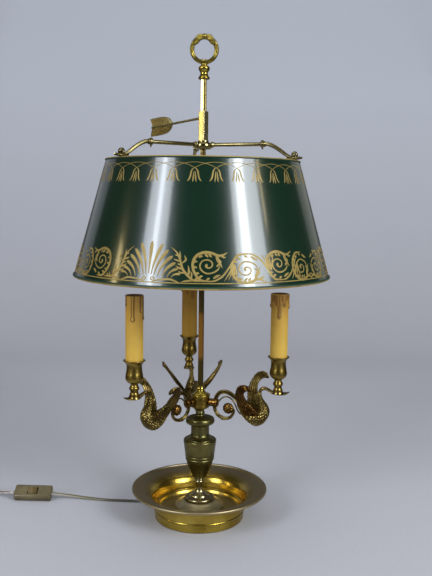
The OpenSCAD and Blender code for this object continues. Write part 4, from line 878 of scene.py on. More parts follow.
slopes = []
for x in KEY_HALF * np.linspace(-1, 1, 25):
    valley = 0.5 * math.exp(-((x / 1.6) ** 2))
    slopes.append([x, 3 + abs(x) * math.tan(math.radians(KEY_TILT)) - valley])
belly = [[KEY_BELLY * math.cos(a), KEY_BELLY * math.sin(a)] for a in np.radians(np.linspace(-25, -155, 14))]
outline = soften(slopes + belly, 0.5, least=30)
across = np.exp(-(((np.abs(outline[:, 0]) - DIMPLE_AT) / DIMPLE_R) ** 2)) * (outline[:, 1] > 2)
rings = []
for y in [-6.4, -6.1, -5.6, *np.linspace(-5, 5, 9), 5.6, 6.1, 6.4]:
    drawn = 0.85 * (1 - 0.24 * abs(y / KEY_WIDTH) ** 3)
    dimple = DIMPLE_DEEP * across * np.exp(-((y / DIMPLE_LONG) ** 2))
    width = np.full(len(outline), 0.82 * y)
    rings.append(np.column_stack([outline[:, 0] * drawn, width, outline[:, 1] - dimple]))
points, faces = skin(np.array(rings))
key = Build().add((in_switch(tilted(points, "Y", -KEY_TILT) + [0, 0, 3.5]), faces))
switch_rocker = key.make("rocker", AMBER, "rocker", ["switch_rocker"], "rocker_amber", sharp=30)

# %% [markdown]
# ## Plug
# A flat two-pin plug is one soft moulding that swells from the flex to the hand, with
# grip ridges in its waist. A scaled box would be too square and a tube too round, so
# its section is a superellipse, between the two.

# %% The plug's body
PLUG_STATIONS = [
    (0, 4.4, 3.9), (1.2, 4.9, 4.3), (6, 5.6, 4.7), (11, 8.2, 5.4), (15, 12.6, 6.2), (18.5, 16, 6.6),
    (22, 17.4, 6.8), (27, 17.6, 6.85), (33.6, 17.6, 6.85), (34.7, 17.1, 6.4), (35, 16.6, 5.9),
]
PLUG_AT, SQUARENESS, GRIP_FROM, GRIP_TO = (-375, 5, 6.85), 0.55, 10, 24

ring = circle(72)
section = np.sign(ring) * np.abs(ring) ** SQUARENESS
rings = []
for x, wide, tall in curve(PLUG_STATIONS, 6):
    grip = 0.35 * max(0, math.cos((x - 17) * 2.2)) * (GRIP_FROM < x < GRIP_TO)
    part = np.column_stack([np.full(72, x), section[:, 0] * (wide - grip), section[:, 1] * tall])
    rings.append(part + PLUG_AT)
plug_body = Build().add(skin(np.array(rings)))
plug_body = plug_body.make("plug", PLUG, replaces=["plug_body"], slot="plug_tan", sharp=40)

# %% [markdown]
# ### The two flexes
# Both flexes are rigid skins along fixed routes, built above; this cell prints their
# names.

# %% Both flexes
print("cords:", lamp_flex.name, plug_flex.name)

# %% [markdown]
# ## Foot and bowl
# The foot is a polished drum with a rolled moulding, and the bowl is spun from one
# disc of brass. Each is drawn as half an outline and swung round. Blender's Screw
# modifier does the same, but a spun sheet isn't quite even: shallow rings are pressed
# into the outline where the spinner's tool rested.

# %% Turned shapes


def profile(*runs):
    """A turned piece's outline: each run is a list of (radius, height) points."""
    return np.vstack([np.asarray(run, float).reshape(-1, 2) for run in runs])


def lathe(outline, segments=128):
    """A closed outline turned about Z."""
    p = np.asarray(outline, float)
    points = polar(p[:, :1], angles(segments), p[:, 1:])
    return points.reshape(-1, 3), grid(len(p), segments, wrap_rows=True)


print("a turned square:", len(lathe([[8, 0], [9, 0], [9, 1], [8, 1]])[0]), "points")

# %% Grooves and close points for an outline


def grooved(points, axis, places, depth=0.35, width=0.9):
    """Presses shallow grooves into an outline at places along one of its axes."""
    p = np.asarray(points, float)
    t = np.gradient(p, axis=0)
    n = np.stack([t[:, 1], -t[:, 0]], -1)
    n /= np.linalg.norm(n, axis=1)[:, None] + 1e-9
    out = p.copy()
    for place in places:
        out -= n * depth * np.exp(-(((p[:, axis] - place) / width) ** 2))[:, None]
    return out


def dense(points, step=0.5):
    """A straight-sided run with its points close together."""
    p = np.asarray(points, float)
    out = []
    for a, b in zip(p, p[1:]):
        n = max(1, int(np.linalg.norm(b - a) / step))
        out += [a + (b - a) * k / n for k in range(n)]
    return np.array([*out, p[-1]])


RADIUS, HEIGHT = 0, 1
print("a dense run of 10 mm:", len(dense([[0, 0], [0, 10]])), "points")

# %% The foot's drum
ring_face = grooved(dense([[65.4, 0.8], [65.4, 10.5]]), HEIGHT, (3.2, 6.4, 8.6), 0.18, 0.35)
moulding = curve([[65.5, 10.8], [66.5, 11.7], [66.9, 12.6], [66.4, 13.6], [65.6, 14]], 5)
foot_line = soften(profile([[63.4, 0], [64.8, 0]], ring_face, moulding, [[63.4, 14]]), 0.3)
drum = Build().add(lathe(foot_line, 192))
drum.make("foot_drum", FOOT_BRASS, replaces=["foot_ring"], slot="gilt_brass")

# %% The bowl
outer = [
    [66.1, 14], [66.4, 20.1], [67.9, 26.2], [71.1, 31.8], [76.8, 35.7], [84.2, 38.5],
    [91.6, 40.2], [95.7, 41.07],
]
inner = [
    [95, 42.88], [91.6, 41.76], [83.9, 40.08], [76.15, 37.17], [70.2, 33.03], [66.5, 26.88],
    [64.8, 20.1], [64.1, 15.8],
]
low = [[64.1, 15.8], [62.9, 15], [61.8, 13.6], [61, 11.9], [59.8, 10.2], [57.9, 9.05]]
under = [[27, 7.4], [58.75, 7.4], [61.75, 8.7], [63.35, 11.4], [63.35, 14.05], [65.9, 14.05]]
outer = grooved(curve(outer, 12), HEIGHT, (16.5, 19.4, 24), 0.14, 0.4)
inner = grooved(curve(inner, 12), RADIUS, (93.5, 91.2), 0.2, 0.4)
rim = [[97 + 2 * math.cos(a), 42.6 + 2 * math.sin(a)] for a in np.radians(np.linspace(-130, 172, 24))]
floor_line = grooved(dense([[57.6, 9], [35.2, 9]]), RADIUS, (54, 49.5, 43.6, 39.4), 0.22, 0.5)
bowl_line = profile(under, outer, rim[1:-1], inner, curve(low, 6)[1:], floor_line, [[27, 9]])
bowl = Build().add(lathe(bowl_line, 224))
bowl.make("bowl_spinning", BOWL_BRASS, replaces=["bowl"], slot="gilt_brass", sharp=50)

# %% The stepped plinth in the bowl
plinth_line = profile(
    [[27, 9], [35.6, 9], [35.6, 16.6]],
    curve([[35.6, 17], [34.9, 18], [32.6, 19]], 5),
    grooved(dense([[32.4, 19.05], [29.4, 20.5]]), RADIUS, (31,), 0.2, 0.5),
    curve([[29.2, 20.6], [26.6, 22.4], [24.6, 24.2], [23.2, 25]], 5),
    [[22.6, 25], [4.1, 25], [4.1, 21.5], [20, 21.5], [27, 16]],
)
plinth = Build().add(lathe(soften(plinth_line, 0.3), 160))
plinth.make("plinth_plate", PALE_BRASS, replaces=["plinth"], slot="dull_brass")

# %% [markdown]
# ## Column
# A pedestal, a vase, a neck and a cushion are turned and threaded on one hidden tube.
# Turned work looks real by the narrow lines between its swellings, so every cove, bead
# and fillet gets its own points. Corners are rounded by a third of a millimetre,
# because only a rounded edge catches a line of light. A bevel modifier would do that
# at one stroke, but would round the swellings' facets too.

# %% A turned piece


def lifted(run, z):
    return np.asarray(run, float) + [0, z]


def turned(name, material, z, *runs, segments=128, replaces=(), slot="aged_brass"):
    """One turned piece, its outline given from its own lower end."""
    outline = soften(lifted(profile(*runs), z), 0.35)
    return Build().add(lathe(outline, segments)).make(name, material, "stand", replaces, slot)


BORE = 4.1  # the hidden tube's hole, in every piece of the column
print("bore:", 2 * BORE, "mm")

# %% Pedestal
P, H, S = 21.4, 31.0, 5.0  # the pedestal's radius, its height and its stem's radius
turned(
    "pedestal_turning", PEDESTAL_BRASS, 25,
    [[BORE, 0], [P - 1.8, 0]],
    curve([[P - 0.5, 0.8], [P, 2], [P, 3.3], [P - 0.6, 4.2]], 4),
    curve([[P - 2.2, 4.7], [0.8 * P, 5.2], [0.7 * P, 5.8]], 4),
    curve([[0.655 * P, 0.2 * H], [0.64 * P, 0.225 * H], [0.625 * P, 0.25 * H]], 3),
    curve([[0.58 * P, 0.272 * H], [S + 4.6, 0.325 * H], [S + 1.8, 0.42 * H], [S + 0.4, 0.56 * H],
           [S, 0.68 * H], [S + 0.1, 0.79 * H]], 8),
    curve([[S + 0.8, 0.812 * H], [S + 1.8, 0.84 * H], [S + 2.2, 0.885 * H], [S + 1.9, 0.93 * H],
           [S + 0.8, 0.965 * H]], 5),
    [[S + 0.6, H], [BORE, H]],
    replaces=["pedestal"],
)

# %% Vase with its beaded band
R, V = 24.0, 61.0  # the vase's radius and height
turned(
    "vase_turning", COLUMN_BRASS, 56,
    [[BORE, 0], [S + 0.6, 0]],
    curve([[S + 0.8, 0.5], [0.35 * R, 0.03 * V], [0.44 * R, 0.06 * V], [0.515 * R, 0.12 * V],
           [0.595 * R, 0.2 * V], [0.72 * R, 0.33 * V], [0.8 * R, 0.44 * V], [0.825 * R, 0.49 * V]], 8),
    curve([[0.86 * R, 0.497 * V], [0.876 * R, 0.51 * V], [0.872 * R, 0.525 * V], [0.852 * R, 0.537 * V]], 4),
    curve([[0.855 * R, 0.552 * V], [0.885 * R, 0.565 * V], [0.89 * R, 0.595 * V], [0.876 * R, 0.605 * V]], 4),
    [[0.878 * R, 0.622 * V], [0.9 * R, 0.632 * V]],
    curve([[0.905 * R, 0.65 * V], [0.94 * R, 0.77 * V], [0.98 * R, 0.89 * V], [R, 0.945 * V],
           [0.99 * R, 0.975 * V], [0.95 * R, 0.993 * V]], 6),
    [[0.9 * R, V], [BORE, V]],
    replaces=["vase"],
)

# %% Neck and cushion
turned(
    "neck_turning", COLUMN_BRASS, 117,
    [[BORE, 0], [21.2, 0]],
    curve([[20.8, 0.8], [18.8, 1.7], [16.6, 3], [14.8, 4.5], [13.7, 6], [13.2, 8]], 5),
    grooved(dense([[13.2, 8.4], [13.2, 20]]), HEIGHT, (9.6, 18.6), 0.2, 0.4),
    [[13.2, 20.5], [BORE, 20.5]],
    replaces=["column_neck"],
)
C, K = 21.0, 25.5  # the cushion's radius, and its height with the spindle
turned(
    "cushion_turning", COLUMN_BRASS, 137.5,
    [[BORE, 0], [13.6, 0]],
    curve([[14.2, 0.02 * K], [0.82 * C, 0.06 * K], [0.94 * C, 0.12 * K], [C, 0.2 * K],
           [0.995 * C, 0.3 * K], [0.97 * C, 0.38 * K]], 6),
    curve([[0.94 * C, 0.415 * K], [0.85 * C, 0.45 * K], [0.67 * C, 0.5 * K]], 4),
    curve([[7.6, 0.54 * K], [6.1, 0.577 * K], [5.7, 0.64 * K], [6.6, 0.695 * K], [6.7, 0.74 * K],
           [5.7, 0.8 * K], [5.6, 0.875 * K], [7.2, 0.937 * K], [11, K]], 4),
    [[BORE, K]],
    replaces=["cushion"],
)

# %% Hub and its domed cap
turned(
    "hub_turning", HUB_BRASS, 163,
    [[BORE, 0], [11, 0], [12.7, 1.2], [13.5, 2.6]],
    grooved(dense([[13.5, 3], [13.5, 17.6]]), HEIGHT, (4.4, 16), 0.25, 0.4),
    [[13.5, 18], [10.4, 18], [10.4, 2], [BORE, 2]],
    replaces=["hub_body"], slot="gilt_brass",
)
turned(
    "hub_cap_turning", GOLD_BRASS, 181,
    [[0, -2.5], [10.3, -2.5], [10.3, 0], [13.9, 0], [14.3, 0.6], [14.3, 1.8], [13.7, 2.4]],
    curve([[12.4, 2.8], [9.9, 4], [8.2, 5.6], [6.8, 7]], 5),
    curve([[6.4, 7.8], [5.9, 8.4], [5.7, 9.2], [6.2, 10.4], [6.3, 11.2], [5.9, 12.3], [5.5, 14]], 4),
    [[0, 14]],
    replaces=["hub_cap"], slot="gilt_brass",
)

# %% [markdown]
# ### Square rod
# The rod is drawn square brass bar. It stands turned, so one face mirrors the window
# and the other the dark room. A bevelled box would do, but rings of points also make
# the sleeve further up, which is the same shape with a second ring inside.

# %% Square bar and rod
ROD_TURN, ROD_SIDE, ROD_LOW, ROD_HIGH = 162.0, 6.5, 195, 629.5
CHAMFER, CHAMFER_RISE = 0.5, 0.3


def square_ring(side, corner, turn, z):
    """The rounded square section of a bar at one height."""
    h = side / 2
    line = soften([[h, -h], [h, h], [-h, h], [-h, -h]], corner, steps=4)
    return turned_about(np.column_stack([line, np.full(len(line), z)]), turn)


def square_bar(side, low, high, turn, corner, bore=None, bore_turn=0):
    """An upright square bar, or a square tube where it has a bore."""
    heights = [low + CHAMFER_RISE, *np.linspace(low + 1, high - 1, 12), high - CHAMFER_RISE]
    rings = [square_ring(side - CHAMFER, corner, turn, low)]
    rings += [square_ring(side, corner, turn, z) for z in heights]
    rings += [square_ring(side - CHAMFER, corner, turn, high)]
    if not bore:
        return skin(np.array(rings))
    rings += [square_ring(bore, 0.1, bore_turn, z) for z in (high, low)]
    a = np.array(rings)
    return a.reshape(-1, 3), grid(len(a), a.shape[1], wrap_rows=True)


rod = Build().add(square_bar(ROD_SIDE, ROD_LOW, ROD_HIGH, ROD_TURN, 0.45))
rod.make("rod_bar", ROD_BRASS, replaces=["square_rod"], slot="gilt_brass")

# %% [markdown]
# ## Swan arms
# Each arm is one bronze casting: a swan whose breast hangs under a double-reeded arch,
# a C-scroll with a rosette, and a long flat beak that carries the candle. Sculpting it
# couldn't be repeated, so the body is a skin over measured cross-sections, and its
# feathers are a height pattern pressed into it. The same pattern is its relief, so the
# metal darkens between feathers. Each arm is drawn along X and turned into place.

# %% Feathers


def tiles(s, t, length, width, bend=1.8):
    """Overlapping feather scales, 0 at a root and 1 at a tip; `s` grows towards the tips."""
    best = np.zeros(np.broadcast(s, t).shape)
    for row in (0, 1):
        across = (t / width + 0.5 * row) % 1 - 0.5
        best = np.maximum(best, (s / (2 * length) + 0.5 * row + bend * across**2) % 1)
    return np.clip((best - 0.5) / 0.5, 0, 1)


def along_of(centre):
    """The distance along a line of points."""
    return np.concatenate([[0], np.cumsum(np.linalg.norm(np.diff(centre, axis=0), axis=1))])


print("scales along 5 mm:", tiles(np.arange(6), 0, 2.5, 1).round(2))

# %% The swan side on
# Each row: the back's x and z, the belly's x and z, and half the width.
SWAN = np.array([
    [56, 174.5, 57.7, 169.5, 2], [61, 175, 62.5, 161.5, 5.5], [67.5, 173.5, 68.5, 155, 9],
    [74.5, 171, 76, 149.3, 11.5], [81, 168.5, 86, 145.9, 12.5], [85.5, 167.5, 96, 150.9, 12],
    [88, 168.7, 102.2, 160.5, 10], [88.8, 174, 104, 168.8, 8], [88.2, 180, 101, 177, 6],
    [87.4, 186, 95.3, 184, 4.2], [87.2, 190.5, 92.2, 190.2, 3.1], [87.4, 194.6, 91.8, 193.6, 2.9],
    [88.6, 198.8, 92.4, 195.9, 3], [91.6, 202.2, 94, 197.6, 3.3], [95.5, 203.6, 96.5, 198.4, 3.3],
    [99.5, 202.8, 99.5, 198.4, 3.3], [103.4, 201, 103, 196.8, 3.9], [107.4, 198.9, 106.8, 195.2, 4.9],
    [111.6, 198.2, 111.4, 194.2, 6.4], [116, 197.5, 116.2, 193.8, 7.4], [120.4, 197.4, 120.8, 193.9, 7.4],
    [124.8, 197.8, 125.2, 194.6, 6.6], [128.6, 198.6, 129, 195.9, 5], [131, 199.4, 131.6, 197.7, 2.8],
    [132.2, 199.9, 132.8, 199.1, 0.9],
])
NECK_FROM, PLUMAGE_TO, BEAK_FROM = 46, 84, 97  # along the middle line
CLEARANCE = 0.02  # keeps faces off those of the solid pieces beside them
print("sections through the swan:", len(SWAN))

# %% The swan's body, neck and beak


def swan_body():
    """The swan's skin and relief, with feathers on all but its head and beak."""
    r = curve(SWAN, 16)
    back = np.stack([r[:, 0], 0 * r[:, 0], r[:, 1] + CLEARANCE], -1)
    belly = np.stack([r[:, 2], 0 * r[:, 0], r[:, 3] + CLEARANCE], -1)
    centre, half = (back + belly) / 2, (back - belly) / 2
    a = angles(112)
    ring = np.stack([np.sign(np.cos(a)) * np.abs(np.cos(a)) ** 0.92, np.sin(a)], -1)
    points = centre[:, None] + half[:, None] * ring[None, :, :1]
    points = points + np.array([0, 1.0, 0]) * (ring[None, :, 1:] * r[:, 4][:, None, None])
    s = along_of(centre)
    plumage = np.clip((s - 3) / 6, 0, 1) * np.clip((PLUMAGE_TO - s) / 8, 0, 1)
    on_neck = np.clip((s - NECK_FROM) / 10, 0, 1)[:, None]
    around = a[None, :] / (2 * math.pi)
    breast, neck = tiles(-s[:, None], around * 15, 2.5, 1.0), tiles(-s[:, None], around * 9, 1.7, 1.0)
    height = breast * (1 - on_neck) + neck * on_neck
    deep = (1.5 * (1 - on_neck) + 0.8 * on_neck) * plumage[:, None]
    outward = points - centre[:, None]
    outward /= np.linalg.norm(outward, axis=2)[..., None] + 1e-9
    points = points + outward * ((height - 0.55) * deep)[..., None]
    # the beak: a line between its halves, and a hollow along its upper side
    beak = np.clip((s - BEAK_FROM) / 6, 0, 1)[:, None]
    slit = np.exp(-(((ring[None, :, 0] + 0.05) / 0.14) ** 2)) * beak
    hollow = np.exp(-(((ring[None, :, 1]) / 0.4) ** 2)) * np.clip(ring[None, :, 0], 0, 1) * beak
    points = points - outward * (0.3 * slit + 0.5 * hollow)[..., None]
    relief = 0.62 + (height - 0.62) * plumage[:, None] - 0.5 * slit
    return skin(points), np.clip(relief, 0, 1)


print("the swan:", len(swan_body()[0][1]), "faces")

# %% Balls and leaves


def ball(centre, radius, squash=(1, 1, 1), sides=20):
    a = np.linspace(0, math.pi, sides // 2 + 1)
    outline = np.stack([np.sin(a) * radius, -np.cos(a) * radius], -1)
    points, faces = lathe(outline, sides)
    return points * np.asarray(squash, float) + np.asarray(centre, float), faces


def leaf(length, width, thick, ribs=5):
    """A carved leaf along X, its face up, with a raised midrib and notched edges."""
    u = np.linspace(0, 1, 40)
    a = angles(28)
    outline = width * np.sin(math.pi * np.clip(u, 0.01, 0.99) ** 0.75) ** 0.8
    notch = 1 - 0.14 * ((u * ribs) % 1) * np.sin(math.pi * u)
    y = np.maximum(outline * notch, 0.12)[:, None] * np.cos(a)
    dome = 0.35 + 0.65 * np.sin(math.pi * np.clip(u, 0.04, 0.96))
    up = thick * np.sin(a)[None, :] * dome[:, None]
    vein = 0.22 * thick * np.cos(2 * math.pi * (u[:, None] * ribs + np.abs(np.cos(a)) * 1.2))
    ridge = 0.55 * thick * np.exp(-((np.cos(a) / 0.22) ** 2)) * (np.sin(a) > 0)
    up = up + (vein + ridge) * (np.sin(a) > 0.1)
    points = np.stack([np.broadcast_to((u * length)[:, None], y.shape), y, up], -1)
    relief = 0.5 + 0.5 * np.clip((vein + ridge) / (0.5 * thick), -1, 1)
    return skin(points), np.broadcast_to(relief, y.shape)


print("a leaf:", len(leaf(14, 2.5, 1)[0][1]), "faces")

# %% A rosette


def rosette(centre, radius, thick):
    """A ball of petals in three rings, with a button in the middle."""
    u = np.linspace(0, math.pi, 49)
    a = angles(96)
    out = radius * np.sin(u)[:, None]
    ring = np.floor(np.clip(out / radius, 0, 0.99) * 3)
    petal = np.abs(np.cos((3 + ring) * a + ring * 0.7)) ** 0.7
    step = (out / radius * 3) % 1
    bulge = 0.8 * (1 - step) * petal
    reach = out * (1 - 0.1 * (1 - petal) * (out > 0.66 * radius))
    up = 0.9 * thick * np.cos(u)[:, None] + bulge * np.sign(np.cos(u))[:, None]
    points = np.stack([reach * np.cos(a), up, reach * np.sin(a)], -1) + np.asarray(centre, float)
    return skin(points), np.clip(0.15 + 1.1 * (1 - step) * petal, 0, 1)


print("a rosette:", len(rosette([0, 0, 0], 8.2, 4.4)[0][1]), "faces")

# %% [markdown]
# ### Arch and scroll
# On the casting, the arch and the scroll are each two rods side by side with a dark
# groove between. One tube with a painted line would look flat there, so two tubes run
# along the same curve, shifted apart, and a thin one fills the gap, darkened with patina
# and painted shade.

# %% Limbs along a curve


def limb(rows, section, steps=8):
    """A limb in the XZ plane; rows are (x, z, half height, half width)."""
    r = curve(rows, steps)
    t = heading(r[:, :2])
    side = np.stack([-t[:, 1], 0 * t[:, 0], t[:, 0]], -1)
    centre = np.stack([r[:, 0], 0 * r[:, 0], r[:, 1]], -1)
    tall = side[:, None] * (section[:, 0][None, :, None] * r[:, 2][:, None, None])
    wide = np.array([0, 1.0, 0]) * (section[:, 1][None, :, None] * r[:, 3][:, None, None])
    return centre[:, None] + tall + wide


def shifted(rows, out, tall, wide):
    """The rows of a limb moved across their own curve, and thinned."""
    r = curve(rows, 6)
    t = heading(r[:, :2])
    r[:, 0] -= t[:, 1] * out * r[:, 2]
    r[:, 1] += t[:, 0] * out * r[:, 2]
    return r * [1, 1, tall, wide]


def double_reed(arm, rows, apart, thick):
    for out in (-apart, apart):
        arm.add(skin(limb(shifted(rows, out, thick, 0.75), circle(20), 2)))
    # the thin middle tube's low relief darkens it with patina and painted shade
    arm.add(skin(limb(shifted(rows, 0, 0.7, 0.3), circle(12), 2)), 0, 0.05)


print("a straight limb:", limb([[0, 0, 1, 1], [9, 0, 1, 1]], circle(8)).shape[0], "rings")

# %% The lines of one arm
ARCH = [
    [22.5, 171, 2.3, 2.6], [23.4, 176, 2.4, 2.7], [25.2, 182.4, 2.5, 2.8], [29.6, 188, 2.6, 2.9],
    [36.7, 190.3, 2.6, 2.9], [44, 189.2, 2.6, 2.9], [51, 185, 2.5, 3], [57, 179, 2.5, 3], [63, 171, 2.5, 3],
]
SCROLL = [
    [21.6, 171, 2.3, 2.6], [22.2, 164.5, 2.3, 2.6], [25, 158, 2.3, 2.5], [30, 153.3, 2.3, 2.4],
    [36.5, 151.2, 2.3, 2.4], [43.2, 152, 2.2, 2.3], [48.6, 156.2, 2, 2.2], [51.3, 162.4, 1.8, 2],
    [49.6, 167.6, 1.5, 1.8],
]
TENDRIL = [
    [26, 172.5, 1.2, 1.4], [29.6, 176.9, 1.2, 1.4], [34, 181.2, 1.1, 1.5], [39.5, 183.2, 1.1, 1.6],
    [45, 182.2, 1, 1.5], [50, 178, 1, 1.4], [54, 171.6, 1, 1.3], [57, 165, 1, 1.2],
    [61.2, 160.4, 1, 1.2], [66, 161, 1, 1.2],
]
BOSS = [
    [0, 13.6], [5.2, 13.6], [5.25, 14.9], [5.75, 15.7], [5.75, 18.4], [5.5, 18.7], [5.5, 19.2], [5.75, 19.5],
    [5.75, 23.2], [6.65, 23.8], [6.65, 25.8], [5.75, 26.6], [3.75, 27.4], [0, 27.4],
]
CANDLE_PAD = [[4.1, 195.3], [8.6, 195.3], [8.2, 196.8], [7, 199], [4.1, 199]]
KNOT = ((33.6, 151.6, 3.5), (30.6, 152.8, 2.6), (36.6, 150.8, 2.6))  # x, z and radius
print("points along the arch:", len(curve(ARCH, 6)))

# %% One whole arm
ARM_REACH = 115.8


def swan_arm():
    arm = Build()
    shape, relief = swan_body()
    arm.add(shape, 0, relief)
    double_reed(arm, ARCH, 0.74, 0.46)
    double_reed(arm, SCROLL, 0.5, 0.6)
    arm.add(skin(limb(TENDRIL, circle(16), 5)))
    shape, relief = rosette([42.9, 0, 166.4], 8.2, 4.4)
    arm.add(shape, 1, relief)
    # a knot on the scroll's lowest bend, and a short leaf at the arch's foot
    for x, z, r in KNOT:
        arm.add(ball([x, 0, z], r, (0.5, 1.0, 1.0)))
    (points, faces), relief = leaf(6, 1.7, 0.9)
    arm.add((tilted(points, "Y", -60) + [27, 0, 186.4], faces), 0, relief)
    points, faces = lathe(soften(BOSS, 0.35), 64)
    arm.add((tilted(points, "Y", 90) + [0, 0, 172.72], faces), 1)
    # the tail, a fan of five leaves
    for spread in (-30, -15, 0, 15, 30):
        (points, faces), relief = leaf(14 - abs(spread) * 0.12, 2.5, 1)
        points = tilted(tilted(points, "Z", spread), "Y", -24) * [-1, 1, 1] + [67, 0, 172.6]
        arm.add((points, faces), 0, relief)
    for side in (-1, 1):
        arm.add(ball([96.2, side * 3.1, 201.2], 0.85), 0, 0.0)
    points, faces = lathe(soften(CANDLE_PAD, 0.4), 64)
    arm.add((points + [ARM_REACH, 0, 0], faces))
    return arm


print("one arm:", swan_arm().count, "points")

# %% [markdown]
# ### Wings
# A wing is a thin curved blade, with long flight feathers behind and short overlapping
# ones in front. Feathers could be single leaves, but hundreds would make a heavy mesh.
# Both kinds are height patterns on one skin instead, and the ragged edge moves the
# skin's own outline, so it shows against the light.

# %% Both wings of a swan
# Each row: one edge's x, y and z, the other edge's x, y and z, and half the thickness.
WING = np.array([
    [73, 7.5, 158.5, 90, 7.5, 158.5, 1.6], [69, 12.6, 167, 91.5, 12.4, 167, 2.3],
    [65.5, 19.5, 177, 86.5, 19, 177, 2.4], [63.6, 27, 187, 79.6, 26, 186, 2.4],
    [64.2, 33, 196, 77, 31.6, 193.8, 2.2], [66.8, 38.6, 203.6, 77.2, 36.2, 199.6, 1.9],
    [70.4, 42.6, 210.2, 79.4, 39.6, 202.8, 1.8], [75.4, 45.2, 213.6, 82, 41.8, 204.8, 1.8],
    [81.8, 46.2, 214.6, 84.6, 42.6, 205.6, 2], [87.4, 45.4, 212.4, 85.8, 42.2, 205.8, 2.3],
    [89, 44, 208.8, 85.8, 42.2, 205.8, 1.9],
])


def wing():
    """One wing's skin and relief."""
    r = curve(WING, 24)
    r[:, [2, 5]] += CLEARANCE
    near, far = r[:, 0:3], r[:, 3:6]
    centre, half = (near + far) / 2, (far - near) / 2
    out = np.cross(np.gradient(centre, axis=0), half)
    out /= np.linalg.norm(out, axis=1)[:, None]
    a = angles(132)
    s = along_of(centre)
    total = s[-1]
    across = (np.sign(np.cos(a)) * np.abs(np.cos(a)) ** 0.85)[None, :]
    face = np.sign(np.sin(a)) * np.abs(np.sin(a)) ** 0.6
    feather = (s[:, None] / 5.4 + 1.15 * across) % 1
    flight = np.abs(np.sin(math.pi * (2.1 * across + 0.2 * np.sin(s[:, None] / 9)))) ** 0.8
    width = np.linalg.norm(half, axis=1)[:, None]
    covert = tiles(s[:, None], across * width / 3.1, 2.2, 1.0)
    front = np.clip((0.4 * total - s[:, None] + 5 * across) / 3, 0, 1)
    height = flight * (1 - front) + covert * front
    body = (np.clip(s / 3, 0, 1) * np.clip((total - s) / 9, 0, 1))[:, None]
    ragged = 1 + 0.16 * (feather - 0.35) * body * np.clip((-across - 0.55) / 0.3, 0, 1)
    points = centre[:, None] + half[:, None] * (across * ragged)[..., None]
    thick = r[:, 6][:, None] * face[None, :] * (0.55 + 0.65 * height * body)
    points = points + out[:, None] * thick[..., None]
    return skin(points), np.clip(0.02 + height * 0.95 * body + 0.12 * (1 - body), 0, 1)


def wing_pair(shaded_wing_side=0):
    """Both wings; the one on the shaded side, -1 or 1, takes the second, darker metal as painted shade."""
    (points, faces), relief = wing()
    pair = Build()
    for side in (1, -1):
        tone = int(side == shaded_wing_side)
        pair.add((points * [1, side, 1], faces), tone, relief)
        knob, knob_faces = ball([0, 0, 0], 3.0, (1.7, 0.75, 0.9))
        knob = tilted(knob, "Y", 42) + [86.4, side * 43.9, 208.8]
        pair.add((knob, knob_faces), tone, 0.16)
    return pair


print("one pair of wings:", wing_pair().count, "points")

# %% The three arms in place
ARM_TURNS = [99.3, 219.3, 339.3]
# on the left and right arms, the wing toward the camera takes a darker metal as painted shade
WING_METALS = [(0, RED_BRONZE), (1, SHADED_WING_BRONZE), (-1, RED_BRONZE)]  # the dark side, its metal
ON_ARM = {"slot": "aged_brass", "sharp": 60}
for i, (turn, (shaded_wing_side, metal_)) in enumerate(zip(ARM_TURNS, WING_METALS), 1):
    swan_arm().make(
        f"swan_arm_casting_{i}", [BRONZE, RED_BRONZE], replaces=[f"swan_arm_{i}"], turn=turn, **ON_ARM
    )
    wing_pair(shaded_wing_side).make(
        f"swan_wings_{i}", [BRONZE, metal_], replaces=[f"wings_{i}"], turn=turn, **ON_ARM
    )

# %% [markdown]
# ## Candle cups
# A cup is turned brass with a socket for the sleeve. It could be copied three times,
# but each must stand for its own CAD piece, so one outline is turned for each arm.

# %% The cups' outline


def at_candle(shape, turn):
    """A shape made about the axis, moved out to an arm's candle."""
    return turned_about(np.asarray(shape[0]) + [ARM_REACH, 0, 0], turn), shape[1]


CUP_Z = 199.02
cup_line = profile(
    [[4.1, 0], [6.9, 0], [6.7, 1.2]],
    curve([[6.6, 2.6], [5.7, 4], [5.3, 5.6], [5.5, 7.4], [6.6, 9], [7, 10.8], [6.5, 12.4],
           [5.4, 14], [5, 15.6]], 4),
    curve([[5.3, 16.8], [8.6, 18.8], [10.9, 21.4], [12.1, 25], [11.8, 29], [10.9, 34],
           [10.3, 39.8], [10.6, 43.3]], 7),
    curve([[10.9, 43.9], [12.9, 46.7], [14.1, 47.8]], 5),
    [[15, 48.5], [15, 49.4], [14.4, 49.7], [12.1, 49.7], [12.1, 46.9], [9.4, 46.9], [9.2, 28],
     [6.6, 26], [4.1, 25]],
)
cup_line = soften(lifted(cup_line, CUP_Z), 0.3)
print("the cup's outline:", len(cup_line), "points")

# %% [markdown]
# ## Candle sleeves
# The candles are hollow resin tubes with wax runs moulded on them, which differ on each
# candle. A fluid simulation would make runs too, but slowly, and never where they are
# wanted. So each run is a few numbers, raised out of the tube's own skin with a swollen
# end as a real drip has, and `relief` tells the wax where to paint shade, along the runs'
# edges, the rim and the inside, and where the amber hood lies.

# %% Runs and the melted hood
SLEEVE_R, SLEEVE_TOP = 12, 336.9


